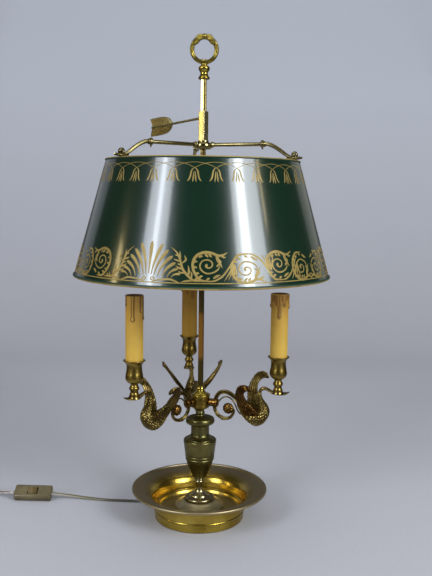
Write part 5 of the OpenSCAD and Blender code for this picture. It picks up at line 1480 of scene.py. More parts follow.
def wax_runs(z, a, runs, turn):
    """How far the runs stand out of the sleeve, and where their edges are."""
    lift = edge = np.zeros((len(z), a.shape[1]))
    for front, long, wide, deep in runs:
        away = np.angle(np.exp(1j * (a - math.radians(front - 90 - turn)))) * SLEEVE_R
        low = SLEEVE_TOP - long
        swell = np.exp(-(((z - low - 2.2) / 2.4) ** 2))
        half = wide / 2 * (0.72 + 0.28 * swell + 0.5 * np.clip((z - 334) / 4, 0, 1))
        run = 1 / (1 + np.exp(-(z - low) / 0.4))
        shape = np.exp(-((away / half) ** 4))
        lift = np.maximum(lift, shape * run * deep * (0.7 + 0.6 * swell))
        rim = np.exp(-(((np.abs(away) - half * 1.15) / 0.75) ** 2)) * run
        tip = np.exp(-(((z - low + 0.5) / 0.9) ** 2)) * np.exp(-((away / half) ** 2))
        edge = np.maximum(edge, np.maximum(rim, tip))
    return lift, edge


def melted_hood(z, a, turn, hood, lift, edge):
    """Where wax has pooled below the rim, down to about `hood` millimetres."""
    if not hood:
        return 0 * lift, edge
    wave = 0.75 + 0.2 * np.sin(3 * a + turn) + 0.14 * np.sin(7 * a + 2 * turn) + 0.06 * np.sin(13 * a)
    drop = hood * wave
    melted = 1 / (1 + np.exp(-(z - SLEEVE_TOP + drop) / 0.25))
    melted = np.maximum(melted, np.clip(lift * 2 - 0.4, 0, 1))
    fringe = np.exp(-(((z - 336.6 + drop) / 0.5) ** 2))
    return melted, np.maximum(edge, 0.8 * fringe * (1 - np.clip(2 * lift, 0, 1)))


print("sleeve:", 2 * SLEEVE_R, "mm across")

# %% A hollow sleeve


def candle(turn, runs, hood):
    """A hollow sleeve. Each run is (direction from the front, length, width, depth)."""
    z = np.concatenate([np.linspace(245.92, 290, 20), np.linspace(290.6, 336.3, 112), [336.7, 336.92]])
    z = z[:, None]
    a = angles(192)[None, :]
    lift, edge = wax_runs(z, a, runs, turn)
    melted, edge = melted_hood(z, a, turn, hood, lift, edge)
    lift = np.maximum(lift, 0.55 * melted + 0.25 * np.clip((z - 333) / 3, 0, 1))
    lift = lift * np.clip((337.2 - z) / 1.0, 0.15, 1)
    r = SLEEVE_R + lift - 0.05 * np.sin(3 * a + z / 9)
    inner_wall = np.array([[11.3, SLEEVE_TOP], [10.9, 336.6], [10.9, 320], [10.9, 246]])
    points = np.concatenate([polar(r, a, z), polar(inner_wall[:, :1], a, inner_wall[:, 1:])])
    top = np.exp(-(((z - SLEEVE_TOP) / 0.8) ** 2))
    # low relief marks where the resin gets painted shade: run edges, the top rim and the inside wall
    relief = np.clip(0.5 + 0.5 * melted - 0.5 * np.maximum(edge, 0.9 * top), 0, 1)
    relief = np.concatenate([relief, np.full((4, a.shape[1]), 0.02)])
    return (points.reshape(-1, 3), grid(len(points), a.shape[1], wrap_rows=True)), relief


print("a bare sleeve:", len(candle(0, [], 0)[0][1]), "faces")

# %% The three cups and candles, each candle with its own runs
LEFT_RUNS = [
    (-62, 14, 2.6, 0.9), (-6, 34, 4.2, 1.3), (52, 22, 3.4, 1.2), (80, 33, 2.6, 1.3),
    (140, 18, 3, 1), (200, 26, 3.4, 1),
]
BACK_RUNS = [
    (-82, 18, 2.6, 1.3), (-20, 20, 3.4, 0.8), (24, 27, 3.2, 0.9), (66, 16, 2.6, 1),
    (130, 22, 3, 1), (200, 28, 3, 1),
]
RIGHT_RUNS = [
    (-78, 19, 4.4, 1.7), (-8, 33, 4, 1.1), (28, 17, 3, 1), (76, 20, 4.4, 1.7),
    (140, 24, 3.4, 1), (205, 17, 4, 1.1),
]
CANDLES = [(BACK_RUNS, 15, SHADED_BACK_WAX), (LEFT_RUNS, 0, WAX), (RIGHT_RUNS, 16, WAX)]
for i, (turn, (runs, hood, look)) in enumerate(zip(ARM_TURNS, CANDLES), 1):
    cup = Build().add(at_candle(lathe(cup_line, 96), turn))
    cup.make(f"cup_{i}", CUP_BRASS, replaces=[f"candle_cup_{i}"], slot="gilt_brass")
    shape, relief = candle(turn, runs, hood)
    sleeve = Build().add(at_candle(shape, turn), 0, relief)
    sleeve.make(f"candle_{i}", look, replaces=[f"candle_sleeve_{i}"], slot="candle_resin", sharp=60)

# %% [markdown]
# ## Shade
# The shade is a cone of lacquered tin with a wire rolled into each edge. It could be
# one primitive, but a real one is never quite round, so its radius wavers by a fifth of
# a millimetre: that bends the reflections of the windows a little.

# %% The cone's measures
LOW_R, TOP_R, LOW_Z, TOP_Z = 179.0, 134.4, 359.0, 517.4
SLANT = math.hypot(LOW_R - TOP_R, TOP_Z - LOW_Z)
SHADE_SIDES = 360


def waver(angle, share):
    """The shade's slight unroundness, in millimetres."""
    return 0.22 * np.sin(2 * angle + 0.7) + 0.12 * np.sin(5 * angle + 3 * share) * np.sin(3.1 * share)


print("the cone's wall is", round(SLANT, 1), "mm long")

# %% The tin cone and its rolled rims


def shade_shell():
    share = np.linspace(0, 1, 60)
    a = angles(SHADE_SIDES)
    r = LOW_R + (TOP_R - LOW_R) * share[:, None] + waver(a, share[:, None])
    outer, inner = (polar(r + off, a, (LOW_Z + (TOP_Z - LOW_Z) * share)[:, None]) for off in (0.4, -0.4))
    top_r = TOP_R - 0.4
    ledge = np.array([
        [top_r + 0.7, 518.6], [top_r, 519], [122, 519], [121, 518.8], [121, 518.3], [122, 518.2],
        [top_r - 1, 518.2],
    ])
    points = np.concatenate([outer, polar(ledge[:, :1], a, ledge[:, 1:]), inner[::-1]])
    return points.reshape(-1, 3), grid(len(points), len(a), wrap_rows=True)


def bead(radius, height, wire, share):
    """The wire rolled into an edge, which wavers as the cone does there."""
    ring = circle(24) * wire
    a = angles(SHADE_SIDES)
    points = polar(radius + ring[:, :1] + waver(a, share), a, height + ring[:, 1:])
    return points.reshape(-1, 3), grid(len(ring), SHADE_SIDES, wrap_rows=True)


ON_SHADE = {"body": "shade_group", "slot": "lacquered_tin"}
Build().add(shade_shell()).make("shade_tin", LACQUER, replaces=["shade_shell"], sharp=50, **ON_SHADE)
Build().add(bead(LOW_R, LOW_Z, 2, 0.0)).make("lower_rim", LOWER_RIM, **ON_SHADE)
Build().add(bead(TOP_R, TOP_Z, 1.6, 1.0)).make("upper_rim", UPPER_RIM, **ON_SHADE)

# %% [markdown]
# ### Gilt ornament
# The frieze is Empire ornament: a palmette between two tall acanthus leaves, then a
# running scroll. A picture wrapped round the cone would be quicker, but it was painted
# with a brush, so it is built from strokes: a line, and a width at each of its points.
# Every stroke is a thin rounded ribbon laid on the tin, two tenths of a millimetre proud
# at its middle, so it catches the light at its edges as thick gold paint does.

# %% Brush strokes on a cone
STROKE_ACROSS = np.array([-1, -0.6, 0, 0.6, 1])
STROKE_LIFT = np.array([0.03, 0.12, 0.18, 0.12, 0.03])


class Ornament(Build):
    """Gilt strokes on the cone. A motif's own place is (angle, height)."""

    def on_cone(self, x, y, angle, height, lift):
        share = (height - LOW_Z + y * (TOP_Z - LOW_Z) / SLANT) / (TOP_Z - LOW_Z)
        r = LOW_R + 0.4 + (TOP_R - LOW_R) * share
        a = math.radians(angle) + x / r - math.pi / 2
        return polar(r + waver(a, share) + lift, a, LOW_Z + share * (TOP_Z - LOW_Z))

    def stroke(self, line, widths, angle, height, flip=1, steps=6):
        """A rounded brush stroke along a line, with a width at each point."""
        rows = curve(np.column_stack([line, widths]), steps)
        p, w = rows[:, :2] * [flip, 1], np.abs(rows[:, 2])
        t = np.gradient(p, axis=0)
        t /= np.linalg.norm(t, axis=1)[:, None] + 1e-9
        n = np.stack([-t[:, 1], t[:, 0]], -1)
        x = p[:, :1] + n[:, :1] * STROKE_ACROSS * w[:, None] / 2
        y = p[:, 1:] + n[:, 1:] * STROKE_ACROSS * w[:, None] / 2
        points = self.on_cone(x, y, angle, height, np.broadcast_to(STROKE_LIFT, x.shape))
        self.add((points.reshape(-1, 3), grid(*x.shape, wrap_cols=False)))


print("a stroke has", len(STROKE_ACROSS), "points across it")

# %% Palmette and tall leaf, in millimetres from their own foot
# Each petal: its foot, its tip, its width and how far it bows.
PALMETTE = [
    ((0, 10), (0, 52), 6, 0), ((3.5, 9), (14.5, 49), 5.8, 0.05), ((7, 8), (22.5, 41.5), 5.8, 0.08),
    ((12, 7), (28.5, 33.5), 5.6, 0.11), ((18, 6), (33, 25), 5.2, 0.14), ((24, 6), (37, 17.5), 4.4, 0.17),
    ((29, 6), (40, 10.5), 3.8, 0.2),
]
LEAF_STEM = [(0, 3.5), (-7.5, 10), (-15, 19.5), (-18.3, 30.5), (-23.3, 42), (-32, 50)]
LEAF_LOBES = [
    ([(-18.5, 31), (-19.6, 45)], 2.6), ([(-15.5, 28), (-10.8, 33), (-13.3, 39)], 2.6),
    ([(-19, 30), (-28, 33.5)], 2.4), ([(-14, 19), (-20, 21), (-25.4, 24)], 2.6),
    ([(-7, 10), (-6.3, 17), (-7.5, 25)], 2.8), ([(-3, 6), (-2.4, 12), (-4, 17)], 2.2),
    ([(-2, 3.4), (-10, 2.8), (-17.5, 1)], 2.6), ([(0, 3.2), (8, 3.8), (16, 3)], 3),
    ([(2, 4), (5, 9)], 2.4), ([(6, 4), (10, 8)], 2.2), ([(-11, 14), (-18, 14.5), (-21, 17)], 2.2),
    ([(-17, 25), (-23, 27)], 2.2), ([(-21, 38), (-26.5, 39.5)], 2),
]
print("petals:", 2 * len(PALMETTE) - 1, "lobes of a leaf:", len(LEAF_LOBES))

# %% Acanthus scroll
SCROLL_C = [
    (4, 3), (-4, 3.2), (-10.4, 4.9), (-17, 14), (-19.6, 24.8), (-17.6, 34.2), (-11.7, 40.9), (-2.6, 43.6),
    (5.2, 42.2), (13, 38.9), (19.6, 40.2), (24.8, 43.6),
]
SCROLL_C_WIDTHS = [0.8, 2.2, 2.9, 3.1, 3.3, 3.4, 3.4, 3.3, 3.2, 3, 2.2, 0.6]
SCROLL_STEM = [(-3, 2), (8, 3.4), (14.5, 7), (19.6, 11.4), (24, 17.5), (28, 24), (31.5, 31), (36, 38)]
SCROLL_STEM_WIDTHS = [0.6, 2, 2.4, 2.4, 2.2, 2, 1.6, 0.5]
SCROLL_SPIRAL = [
    (14.6, 24), (12, 18.8), (5.2, 14.6), (-2.6, 14), (-9, 19), (-10.2, 26), (-6.4, 31.8), (0.4, 32.6),
    (5, 28.8), (4.6, 23.6), (0.4, 21.4), (-2.8, 24), (-1.2, 26.6),
]
SCROLL_SPIRAL_WIDTHS = [0.6, 1.8, 1.9, 1.9, 1.8, 1.8, 1.7, 1.7, 1.6, 1.6, 1.8, 2.6, 2.8]
SCROLL_LOBES = [
    ([(10.4, 39.5), (13, 31.5), (18.3, 21.4)], 3.6), ([(13.4, 33), (17, 29)], 2.6),
    ([(14, 27), (10.4, 23)], 2.4), ([(-12, 36.5), (-9, 38), (-6.5, 37.5)], 2.6),
    ([(-4, 41), (-2, 39), (0, 36.4)], 2.6), ([(1, 41), (4.5, 36.6)], 2.6),
    ([(-16, 13), (-13.5, 14), (-11, 13.5)], 2.6), ([(-11, 8), (-9, 9.6), (-6.6, 10)], 2.6),
    ([(-2, 4.5), (0, 6.4), (2.4, 7.5)], 2.6), ([(6.5, 6.7), (11, 10), (16, 12)], 2.6),
    ([(-18.4, 29), (-15.6, 30.6), (-13.4, 30)], 2.4), ([(-19, 22), (-16, 22.6), (-14, 21)], 2.4),
    ([(16, 39.4), (20, 36.4), (23, 37)], 2.2),
]
SCROLL_FAN = [
    ([(34, 27), (27, 14), (20.5, 2.7)], 3.2), ([(34, 27), (30, 15), (26, 4)], 3.2),
    ([(34, 27), (33, 15), (31.4, 4)], 3.2), ([(34, 27), (36.4, 14), (37.8, 2.7)], 3.2),
]
print("lobes of a scroll:", len(SCROLL_LOBES) + len(SCROLL_FAN))

# %% Petals and the palmette
FRIEZE_FOOT = 365.4  # the height that the frieze's motifs stand on
DROP = np.array([
    [0, 0.22], [0.2, 0.4], [0.45, 0.66], [0.7, 0.93], [0.87, 1], [0.96, 0.62], [1, 0.12],
])  # share of the length, share of the width


def petal(gilt, start, end, width, angle, bow=0.0):
    """A drop that is round and widest near its end."""
    a, b = np.array(start, float), np.array(end, float)
    side = np.array([-(b - a)[1], (b - a)[0]])
    shares, widths = DROP.T
    line = a + (b - a) * shares[:, None] + side * (bow * 4 * shares * (1 - shares))[:, None]
    gilt.stroke(line, width * widths, angle, FRIEZE_FOOT, steps=3)


def palmette(gilt, angle):
    """Petals, a swag and a small coil on each side; the middle petal is drawn once."""
    for side, petals in ((1, PALMETTE), (-1, PALMETTE[1:])):
        for (x0, y0), (x1, y1), width, bow in petals:
            petal(gilt, (side * x0, y0), (side * x1, 0.97 * y1), 0.76 * width, angle, side * bow)
        swag = [(side * 6, 1), (side * 15, 3), (side * 28, 4), (side * 37, 1), (side * 42, -1)]
        gilt.stroke(swag, [1, 2, 2.4, 1.8, 0.5], angle, FRIEZE_FOOT)
        turn = np.linspace(0, 8.2, 16)
        r = 3.5 - 0.38 * turn
        coil_line = np.stack([side * (5 + r * np.sin(turn)), 4 - r * np.cos(turn)], -1)
        gilt.stroke(coil_line, np.linspace(1.5, 1.1, 16), angle, FRIEZE_FOOT, steps=3)


print("the frieze's foot is at", FRIEZE_FOOT, "mm")

# %% Leaves and scrolls
LOW_FRIEZE = 0.87  # height on the shade for 1 as drawn


def lobe(gilt, line, width, angle, flip):
    """A pointed lobe through two or three points."""
    p = np.asarray(line, float)
    if len(p) == 2:
        p = np.array([p[0], p.mean(0), p[1]])
    gilt.stroke(p, width * np.array([0.7, 1.0, 0.12]), angle, FRIEZE_FOOT, flip, 5)


def tall_leaf(gilt, angle, flip=1):
    smaller = np.array([0.88, LOW_FRIEZE])
    gilt.stroke(LEAF_STEM * smaller, [2.8, 3, 2.8, 2.4, 1.8, 0.5], angle, FRIEZE_FOOT, flip)
    for line, width in LEAF_LOBES:
        lobe(gilt, line * smaller, 0.9 * width, angle, flip)


def scroll(gilt, angle, flip, narrow, upside, stem):
    """One acanthus scroll, 44 mm high as drawn, opening to the right."""

    def placed(line):
        p = np.array(line, float) * [narrow, 1]
        if upside:
            p[:, 1] = 44 - p[:, 1]
        return p * [1, LOW_FRIEZE]

    gilt.stroke(placed(SCROLL_C), SCROLL_C_WIDTHS, angle, FRIEZE_FOOT, flip)
    gilt.stroke(placed(SCROLL_SPIRAL), SCROLL_SPIRAL_WIDTHS, angle, FRIEZE_FOOT, flip)
    for line, width in SCROLL_LOBES:
        lobe(gilt, placed(line), 1.1 * width, angle, flip)
    if stem:
        gilt.stroke(placed(SCROLL_STEM), SCROLL_STEM_WIDTHS, angle, FRIEZE_FOOT, flip)
        for line, width in SCROLL_FAN:
            lobe(gilt, placed(line), 0.64 * width, angle, flip)


print("a scroll is", round(44 * LOW_FRIEZE, 1), "mm high on the shade")

# %% Frieze: three sectors of 120 degrees
# Each scroll: its angle, its flip, its width, upside down or not, with a stem or not.
SCROLLS = [
    (2.5, 1, 0.95, False, True), (18.4, 1, 1.0, True, True), (33.8, 1, 0.94, False, True),
    (47.1, 1, 0.86, True, False), (59.5, -1, 0.86, True, False), (72, -1, 0.9, False, False),
]
GILDED = {"body": "shade_group", "slot": "gilt_brass", "sharp": 80}
frieze = Ornament()
for sector in (0, 120, 240):
    palmette(frieze, sector - 21.7)
    tall_leaf(frieze, sector - 3.3)
    tall_leaf(frieze, sector - 39.8, -1)
    for offset, flip, narrow, upside, stem in SCROLLS:
        scroll(frieze, sector + offset, flip, narrow, upside, stem)
frieze.make("gilt_frieze", GILT, **GILDED)

# %% [markdown]
# ### Garland and line
# Near the top hangs a garland: thin swags, and a bellflower where they meet. An array
# modifier would bend them off the cone, so a loop draws one flower and one swag at
# each of 33 equal angles. A thin line closes the frieze at its foot.

# %% Garland of bellflowers
BELLS, BELL_HEIGHT, BELL_RADIUS = 33, 489, 141
HALF_SWAG = BELL_RADIUS * 2 * math.pi / BELLS
garland = Ornament()
for k in range(BELLS):
    angle = -4.2 + 360 / BELLS * k
    x = np.linspace(-1, 1, 9)
    swag = np.column_stack([x * HALF_SWAG, 22.4 - 7.4 * np.abs(x) ** 2.1])
    garland.stroke(swag, np.full(9, 0.7), angle, BELL_HEIGHT, steps=5)
    for side in (1, -1):
        outer_petal = [(0.3, 15.2), (2.8, 13), (4.1, 10), (5, 4.8), (6.8, 0), (9, -1.8)]
        inner_petal = [(0.7, 11), (1.1, 6), (1.6, 1), (2.1, -3)]
        garland.stroke(outer_petal, [0.5, 1.4, 1.8, 1.8, 1.6, 0.4], angle, BELL_HEIGHT, side, 4)
        garland.stroke(inner_petal, [0.4, 1.3, 1.7, 0.4], angle, BELL_HEIGHT, side, 4)
garland.make("gilt_garland", GILT, **GILDED)

# %% The line under the frieze
LINE_HEIGHT = 365.1
line_r = LOW_R + 0.4 + (TOP_R - LOW_R) * (LINE_HEIGHT - LOW_Z) / (TOP_Z - LOW_Z)
around = np.linspace(0, 2 * math.pi * line_r, 361)
gilt_line = Ornament()
gilt_line.stroke(np.column_stack([around, 0 * around]), np.full(361, 1.3), 0, LINE_HEIGHT, steps=1)
gilt_line.make("gilt_line", GILT, **GILDED)

# %% [markdown]
# ## Carrier and arrow
# The shade hangs on a collar that slides on the rod. Three bars reach out of it to
# cast scroll ends that rest on the shade's ledge, and an arrow-shaped screw clamps
# the sleeve. Each could be modelled where it lies, but a lathe turns about Z, so bars
# and knuckles are turned upright, tipped over and then turned into place.

# %% Collar and sleeve
CARRIER_TURNS = [97, 217, 337]
SLEEVE_TURN = 140.4
BAR_HEIGHT = 540
CARRIED = {"body": "shade_group", "slot": "aged_brass"}


def lying(outline, sides, turn=0):
    """A turned shape laid along X at the bars' height, then turned about the rod."""
    points, faces = lathe(outline, sides)
    return turned_about(tilted(points, "Y", 90) + [0, 0, BAR_HEIGHT], turn), faces


collar_line = profile(
    [[5.6, 0], [9.4, 0]],
    curve([[10, 0.1], [11.6, 1.2], [12.4, 3], [12.5, 5.4], [11.8, 7.6], [10.4, 8.8]], 5),
    [[9, 9.1], [8.2, 9.3], [7.7, 10], [7.7, 12], [5.6, 12]],
)
SOCKET = [[2.6, 12.2], [4.1, 12.2], [4.4, 13.4], [3.9, 14.6], [3.3, 15.2], [3.4, 16.4], [2.6, 17.2]]
BAR = [[0, 12.6], [2.55, 12.6], [2.7, 40], [2.65, 86], [0, 86]]
collar = Build()
collar.add(lathe(soften(lifted(collar_line, 534), 0.3), 96))
collar.add(square_bar(9.8, 545.8, 586, SLEEVE_TURN, 0.6, 6.6, ROD_TURN), 1)
bars = Build()
for turn in CARRIER_TURNS:
    collar.add(lying(soften(SOCKET, 0.3), 40, turn))
    bars.add(lying(soften(BAR, 0.2), 40, turn))
collar.make("collar_turning", [BRASS, SLEEVE_HIGHLIGHT_BRASS], replaces=["carrier_collar"], **CARRIED)
bars.make("carrier_rods", BRASS, replaces=["carrier_bars"], **CARRIED)

# %% Lines of a scrolled end
KNUCKLE = [
    [0, 84.4], [2.9, 84.4], [3.4, 85], [4.6, 85.6], [5, 86.8], [4.6, 88], [3.5, 88.6], [3.3, 89.2],
    [3.9, 89.8], [4, 90.8], [3.2, 91.6], [0, 91.6],
]
# Each row: x, z, half the height and half the width.
END_CURVE = [
    [89, 540, 2.7, 2.7], [94.2, 540.4, 2.9, 2.7], [103.2, 537.1, 2.8, 2.6], [113.1, 531.2, 2.7, 2.5],
    [121.3, 525.3, 2.5, 2.6], [129.5, 521.7, 1.8, 2.8],
]
VOLUTE_X, VOLUTE_Z = 132, 525.6
FLUTES = 5
CARRIER_STUD = [[0, 514], [1.5, 514], [1.5, 521], [0, 521]]


def volute():
    """The rows of a coil that tightens and thins towards its middle."""
    rows = []
    for share in np.linspace(0, 1, 60):
        a = math.radians(-150 + share * 560)
        r = 4.2 * (1 - share) ** 0.8 + 0.5
        place = [VOLUTE_X + r * math.cos(a), VOLUTE_Z + r * math.sin(a)]
        rows.append([*place, 1.6 - 0.6 * share, 3.1 - 0.7 * share])
    return rows


print("the volute has", len(volute()), "rows")

# %% Scrolled ends of the bars


def carrier_end():
    end = Build()
    end.add(lying(soften(KNUCKLE, 0.35), 48))
    end.add(ball([87.2, 0, 544.4], 1.5, (1.5, 1.2, 0.7)))
    end.add(ball([87.4, 0, 534.4], 1.2, (1, 1, 1.4)), 1)
    # a fluted limb, whose relief is low in the flutes
    flute = (0.5 + 0.5 * np.cos(FLUTES * angles(40))) ** 2
    rings = limb(END_CURVE, circle(40) * (1 - 0.1 * flute)[:, None])
    end.add(skin(rings), 0, np.broadcast_to(0.1 + 0.8 * (1 - flute), rings.shape[:2]))
    # a coiled volute on top of the foot
    end.add(skin(limb(volute(), circle(18), 2)))
    for side in (-1, 1):
        end.add(ball([VOLUTE_X, side * 2.7, VOLUTE_Z], 1.5, (1, 0.8, 1)))
    # the flat foot, a thick pointed leaf with two small ones beside it
    (points, faces), relief = leaf(22, 4.6, 2.0, 6)
    end.add((points + [121.5, 0, 520.8], faces), 0, relief)
    for side in (-1, 1):
        (points, faces), relief = leaf(11, 2.2, 1.2, 4)
        end.add((tilted(points, "Z", side * 28) + [123.6, 0, 521.4], faces), 0, relief)
    points, faces = lathe(soften(CARRIER_STUD, 0.2), 24)
    end.add((points + [127, 0, 0], faces))
    return end


for i, turn in enumerate(CARRIER_TURNS, 1):
    end = carrier_end()
    replaced = [f"carrier_end_{i}"]
    end.make(f"carrier_scroll_{i}", [BRASS, BRONZE], replaces=replaced, sharp=50, turn=turn, **CARRIED)

# %% [markdown]
# ### The arrow
# The clamping screw is an arrow: a twisted shaft, a small collar and a flat barbed
# feather. A Screw modifier could twist the shaft, but here the twist is a cosine that
# turns as it climbs, and the barbs are the same kind of wave. The arrow is drawn along
# Z and then laid into its place.

# %% Shaft and collar
ARROW_TILT = 95.5


def in_arrow(points):
    """Points of the arrow's frame, Z along its shaft, placed on the rod."""
    return turned_about(tilted(points, "Y", ARROW_TILT) + [3.4955, 0, 577], SLEEVE_TURN)


ARROW_COLLAR = [
    [0, 0.5], [1.9, 0.5], [1.9, 1.5], [2, 2.7], [2.9, 3.2], [2.9, 4.6], [2.1, 5.4], [1.8, 6.2],
    [1.8, 7.4], [0, 7.4],
]
arrow = Build()
z = np.linspace(6.6, 95.4, 150)[:, None]
a = angles(32)[None, :]
strand = np.cos(3 * a + z * 1.15)
r = (1.55 + 0.32 * strand) * np.clip((96.6 - z) / 1.2, 0.35, 1)
arrow.add(skin(polar(r, a, z)), 0, 0.45 + 0.45 * strand, in_arrow)
arrow.add(lathe(soften(ARROW_COLLAR, 0.25), 32), place=in_arrow)
print("the arrow's shaft is", round(float(np.ptp(z)), 1), "mm long")

# %% Feathers of the arrow
FEATHER_FROM, FEATHER_LONG, BARB = 55, 42, 2.6
edge = curve([[0, 0.4], [1.4, 4.5], [6, 9.3], [14, 12.2], [28, 12.9], [FEATHER_LONG, 12.6]], 18)
s = np.linspace(0, FEATHER_LONG, 85)[:, None]
share = np.linspace(0, 1, 11)[None, :]
reach = share * np.interp(s, edge[:, 0], edge[:, 1])
ridge = 0.5 + 0.5 * np.cos(2 * math.pi * (s - reach * 0.55) / BARB)
for side, stretch, more in ((1, 1.035, 1.4), (-1, 1, 0)):
    tail = FEATHER_LONG + more - (1 - share) * 4.2
    along = FEATHER_FROM + np.minimum(s * stretch, tail)
    for face in (1, -1):
        points = np.stack([side * reach, face * (0.42 + 0.5 * ridge), along], -1)
        arrow.add((points, grid(*ridge.shape, wrap_cols=False)), 0, ridge * 0.9, in_arrow)
    # a strip that closes the two faces along the outer edge and the tail
    rim_x = np.concatenate([side * reach[:, -1], side * reach[-1, ::-1]])
    rim_z = np.concatenate([along[:, -1], along[-1, ::-1]])
    strip = np.array([[x, face * 0.9, height] for x, height in zip(rim_x, rim_z) for face in (1, -1)])
    arrow.add((strip, grid(len(rim_x), 2, wrap_cols=False)), place=in_arrow)
arrow.make("arrow_bolt", ARROW_BRASS, "arrow", ["arrow_screw"], "aged_brass", sharp=35)

# %% [markdown]
# ## Finial
# The ring is for lifting the lamp: a reeded hoop tied with a bow at its top, cast in
# one piece. Blender's torus would be smooth, so this one has a groove on its front and
# back, and the bow's lobes are carved leaves bent round the same circle.

# %% Neck
GILDED_TOP = {"slot": "gilt_brass"}
turned(
    "finial_turning", GOLD_BRASS, 629.5,
    [[0, 0], [6.8, 0]],
    curve([[7.4, 0.2], [8, 1.2], [8, 2.2], [7.2, 3.4]], 4),
    curve([[6.3, 4.2], [5.3, 7.4], [5.5, 9.4], [7, 11.8], [7.9, 14], [7.7, 15.8], [6, 17.8],
           [4.6, 18.8]], 6),
    [[4.2, 19.2], [4.5, 19.8], [4.6, 20.5], [4.3, 21], [0, 21]],
    replaces=["finial_neck"], segments=96, **GILDED_TOP,
)

# %% Ring
RING_R, RING_Z, RING_FACETS = 17, 669.5, (40, 160)  # facets round the wire and round the hoop
ring = Build()
a = angles(RING_FACETS[1])
sides = circle(RING_FACETS[0])
groove = np.exp(-((sides[:, :1] / 0.24) ** 2))
wire = (3.1 + 0.25 * np.cos(a)) * (1 - 0.3 * groove)
r = RING_R + sides[:, :1] * wire
points = np.stack([r * np.sin(a), 0 * a + sides[:, 1:] * wire, RING_Z + r * np.cos(a)], -1)
relief = np.broadcast_to(0.75 - 0.72 * groove, RING_FACETS)
ring.add((points.reshape(-1, 3), grid(*RING_FACETS, wrap_rows=True)), 0, relief)
print("the ring is", 2 * RING_R, "mm across its middle line")

# %% Bow


def bent_leaf(side, start, long, wide, radius, depth):
    """A leaf that follows the ring from an angle, one on the front and one behind."""
    for face in (1, -1):
        (points, faces), relief = leaf(long, wide, 2.0, 5)
        p = points * [1, 1, face]
        angle = math.radians(start) + p[:, 0] / RING_R
        out = radius + p[:, 1]
        bent = np.stack(
            [side * out * np.sin(angle), p[:, 2] + face * depth, RING_Z + out * np.cos(angle)], -1
        )
        ring.add((bent, faces), 0, relief)


for side in (-1, 1):
    bent_leaf(side, 4, 13, 4.4, 17.6, 2.4)
    bent_leaf(side, 30, 11, 3.8, 15.6, 2.4)
    bent_leaf(side, 58, 14, 3.2, 17, 1.8)
    ring.add(ball([side * 9.4, 0, 682.2], 3.3, (1.15, 1.2, 0.95)))
    ring.add(ball([side * 2.3, 0, 655.2], 1.9))
ring.add(ball([0, 0, 687.2], 4.0, (1.0, 1.15, 1.0)))
ring.make("finial_loop", RING_BRASS, replaces=["finial_ring"], sharp=50, **GILDED_TOP)

# %% [markdown]
# ## Backdrop and light
# The lamp stands on a sweep of grey paper, between two tall windows. Polished metal
# shows its surroundings more than its own colour. A picture of a room could light it,
# but panels with the windows' shapes can be moved one by one: each has a narrow bright
# core inside a wide soft one. Mirror rays see a dark room and a floor that darkens away
# from the lamp; other rays get an even fill, so the paper stays pale.

# %% Grey paper


def grey_paper(name):
    """Matt grey paper, painted paler and cooler higher up as light, and dark far from the lamp in mirrors
    only.
    """
    material, tree, at = new_finish(name)
    base = stained(tree, "#b5b5b9", "#b0b0b5", clouds(tree, at, 1.1, 0.3, 0.7))
    base = stained(tree, base, "#8e8e97", clouds(tree, at, 260, 0.4, 0.7, most=0.12))
    z = node(tree, "SeparateXYZ", {0: at}, out="Z")
    # painted light: paler and cooler towards the top of the sweep
    base = stained(tree, base, "#c3c6ce", node(tree, "MapRange", {0: z, 1: 0.02, 2: 0.9}))
    mirror = node(tree, "LightPath", out="Is Glossy Ray")
    far = node(tree, "MapRange", {0: axis_distance(tree, at), 1: 0.2, 2: 0.62, 3: 0.0, 4: 0.86})
    base = stained(tree, base, "#3a332a", far, mirror)
    grain = node(tree, "TexNoise", {"Vector": at, "Scale": 420, "Detail": 4, "Roughness": 0.55})
    normal = node(tree, "Bump", {"Height": grain, "Distance": 0.4 * MM, "Strength": 0.25})
    inputs = {"Base Color": base, "Roughness": 0.75, "Normal": normal}
    node(tree, "OutputMaterial", {"Surface": node(tree, "BsdfPrincipled", inputs)})
    return material


PAPER = grey_paper("grey backdrop paper")
print("made", PAPER.name)

# %% Paper sweep
SWEEP_FROM, SWEEP_R, SWEEP_TOP = 1.1, 1.2, 4.6  # metres behind the lamp, and up
HALF_WIDTH, COLUMNS = 4.2, 12


def sweep_line():
    """The paper from the side: a floor, a quarter circle and a wall, in metres."""
    bend = [
        [SWEEP_FROM + SWEEP_R * math.sin(a), SWEEP_R - SWEEP_R * math.cos(a)]
        for a in np.linspace(0.05, math.pi / 2, 24)
    ]
    return [[-3.2, 0], [SWEEP_FROM, 0], *bend, [SWEEP_FROM + SWEEP_R, SWEEP_TOP]]


line = sweep_line()
mesh = bpy.data.meshes.new("backdrop")
x = np.linspace(-HALF_WIDTH, HALF_WIDTH, COLUMNS)
# 0.2 mm under the felt, so the two surfaces don't flicker
points = [(v, y, z - 0.2 * MM) for y, z in line for v in x]
mesh.from_pydata(points, [], grid(len(line), COLUMNS, wrap_cols=False))
mesh.polygons.foreach_set("use_smooth", [True] * len(mesh.polygons))
mesh.materials.append(PAPER)
in_scene("backdrop", mesh)
print("backdrop:", len(mesh.polygons), "faces")

# %% An area light that looks at the lamp
LAMP_MIDDLE = np.array([0, 0, 0.42])


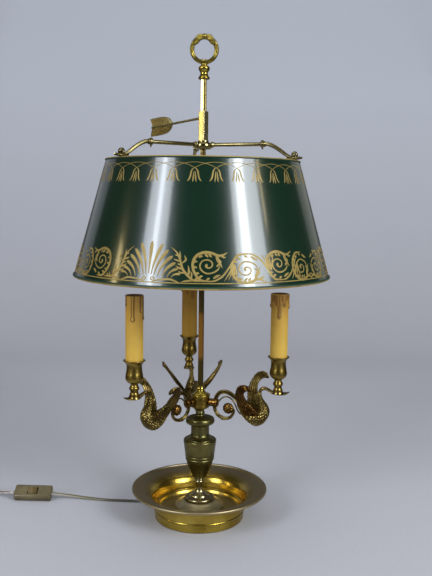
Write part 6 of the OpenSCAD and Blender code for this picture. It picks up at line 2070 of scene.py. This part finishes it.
def panel(name, azimuth, distance, height, size, power, colour):
    """An area light; azimuth 0 is at the camera's side and 90 at the right."""
    data = bpy.data.lights.new(name, "AREA")
    data.shape = "RECTANGLE"
    data.size, data.size_y = size
    data.energy = power
    data.color = linear(colour)[:3]
    obj = in_scene(name, data)
    a = math.radians(azimuth)
    obj.location = (distance * math.sin(a), -distance * math.cos(a), height)
    obj.rotation_mode = "QUATERNION"
    obj.rotation_quaternion = Vector(np.array(obj.location) - LAMP_MIDDLE).to_track_quat("Z", "Y")
    print(f"{name}: {power} W from {azimuth} degrees")


panel("window_left", -45.5, 2.4, 1.42, (0.96, 1.35), 30, "#eef4ff")
panel("window_left_core", -45, 2.36, 1.42, (0.2, 1.25), 8, "#eef6ff")
panel("window_right", 47, 2.4, 1.42, (1.3, 1.35), 42, "#f2f8ff")
panel("window_right_core", 42, 2.36, 1.42, (0.4, 1.3), 18, "#f4fbff")
panel("strip_left", -80, 2.3, 0.82, (0.2, 0.66), 3.6, "#ffe6a8")
panel("strip_right", 67, 2.3, 1.8, (0.12, 0.8), 1.8, "#ffe9b4")
panel("far_left", -143, 2.4, 0.9, (1.8, 1.5), 2.4, "#eef4ff")
panel("far_right", 140, 2.4, 0.9, (1.4, 1.3), 1.5, "#f4f6ea")
panel("ceiling", 0, 0.3, 3.2, (3.2, 3.2), 20, "#fbfaf6")

# %% The room around it
SOFT_ROOM = ((0.3, "#5a5650"), (0.5, "#7b7c82"), (0.8, "#a9adb8"))
DARK_ROOM = ((0.35, "#221d15"), (0.5, "#37332a"), (0.62, "#4b4940"), (0.9, "#5d5c56"))
world = bpy.data.worlds.new("room")
bpy.context.scene.world = world
world.use_nodes = True
sky = world.node_tree
height = node(sky, "SeparateXYZ", {0: node(sky, "TexCoord", out="Generated")}, out="Z")
rise = node(sky, "MapRange", {0: height, 1: -1.0, 2: 1.0})
soft, dark = (node(sky, "ValToRGB", {"Fac": rise}, stops=stops) for stops in (SOFT_ROOM, DARK_ROOM))
tone = stained(sky, soft, dark, node(sky, "LightPath", out="Is Glossy Ray"))
background = sky.nodes["Background"]
sky.links.new(tone, background.inputs["Color"])
background.inputs["Strength"].default_value = 0.7
bpy.context.scene.view_settings.view_transform = "Standard"
print("room:", len(sky.nodes), "nodes")
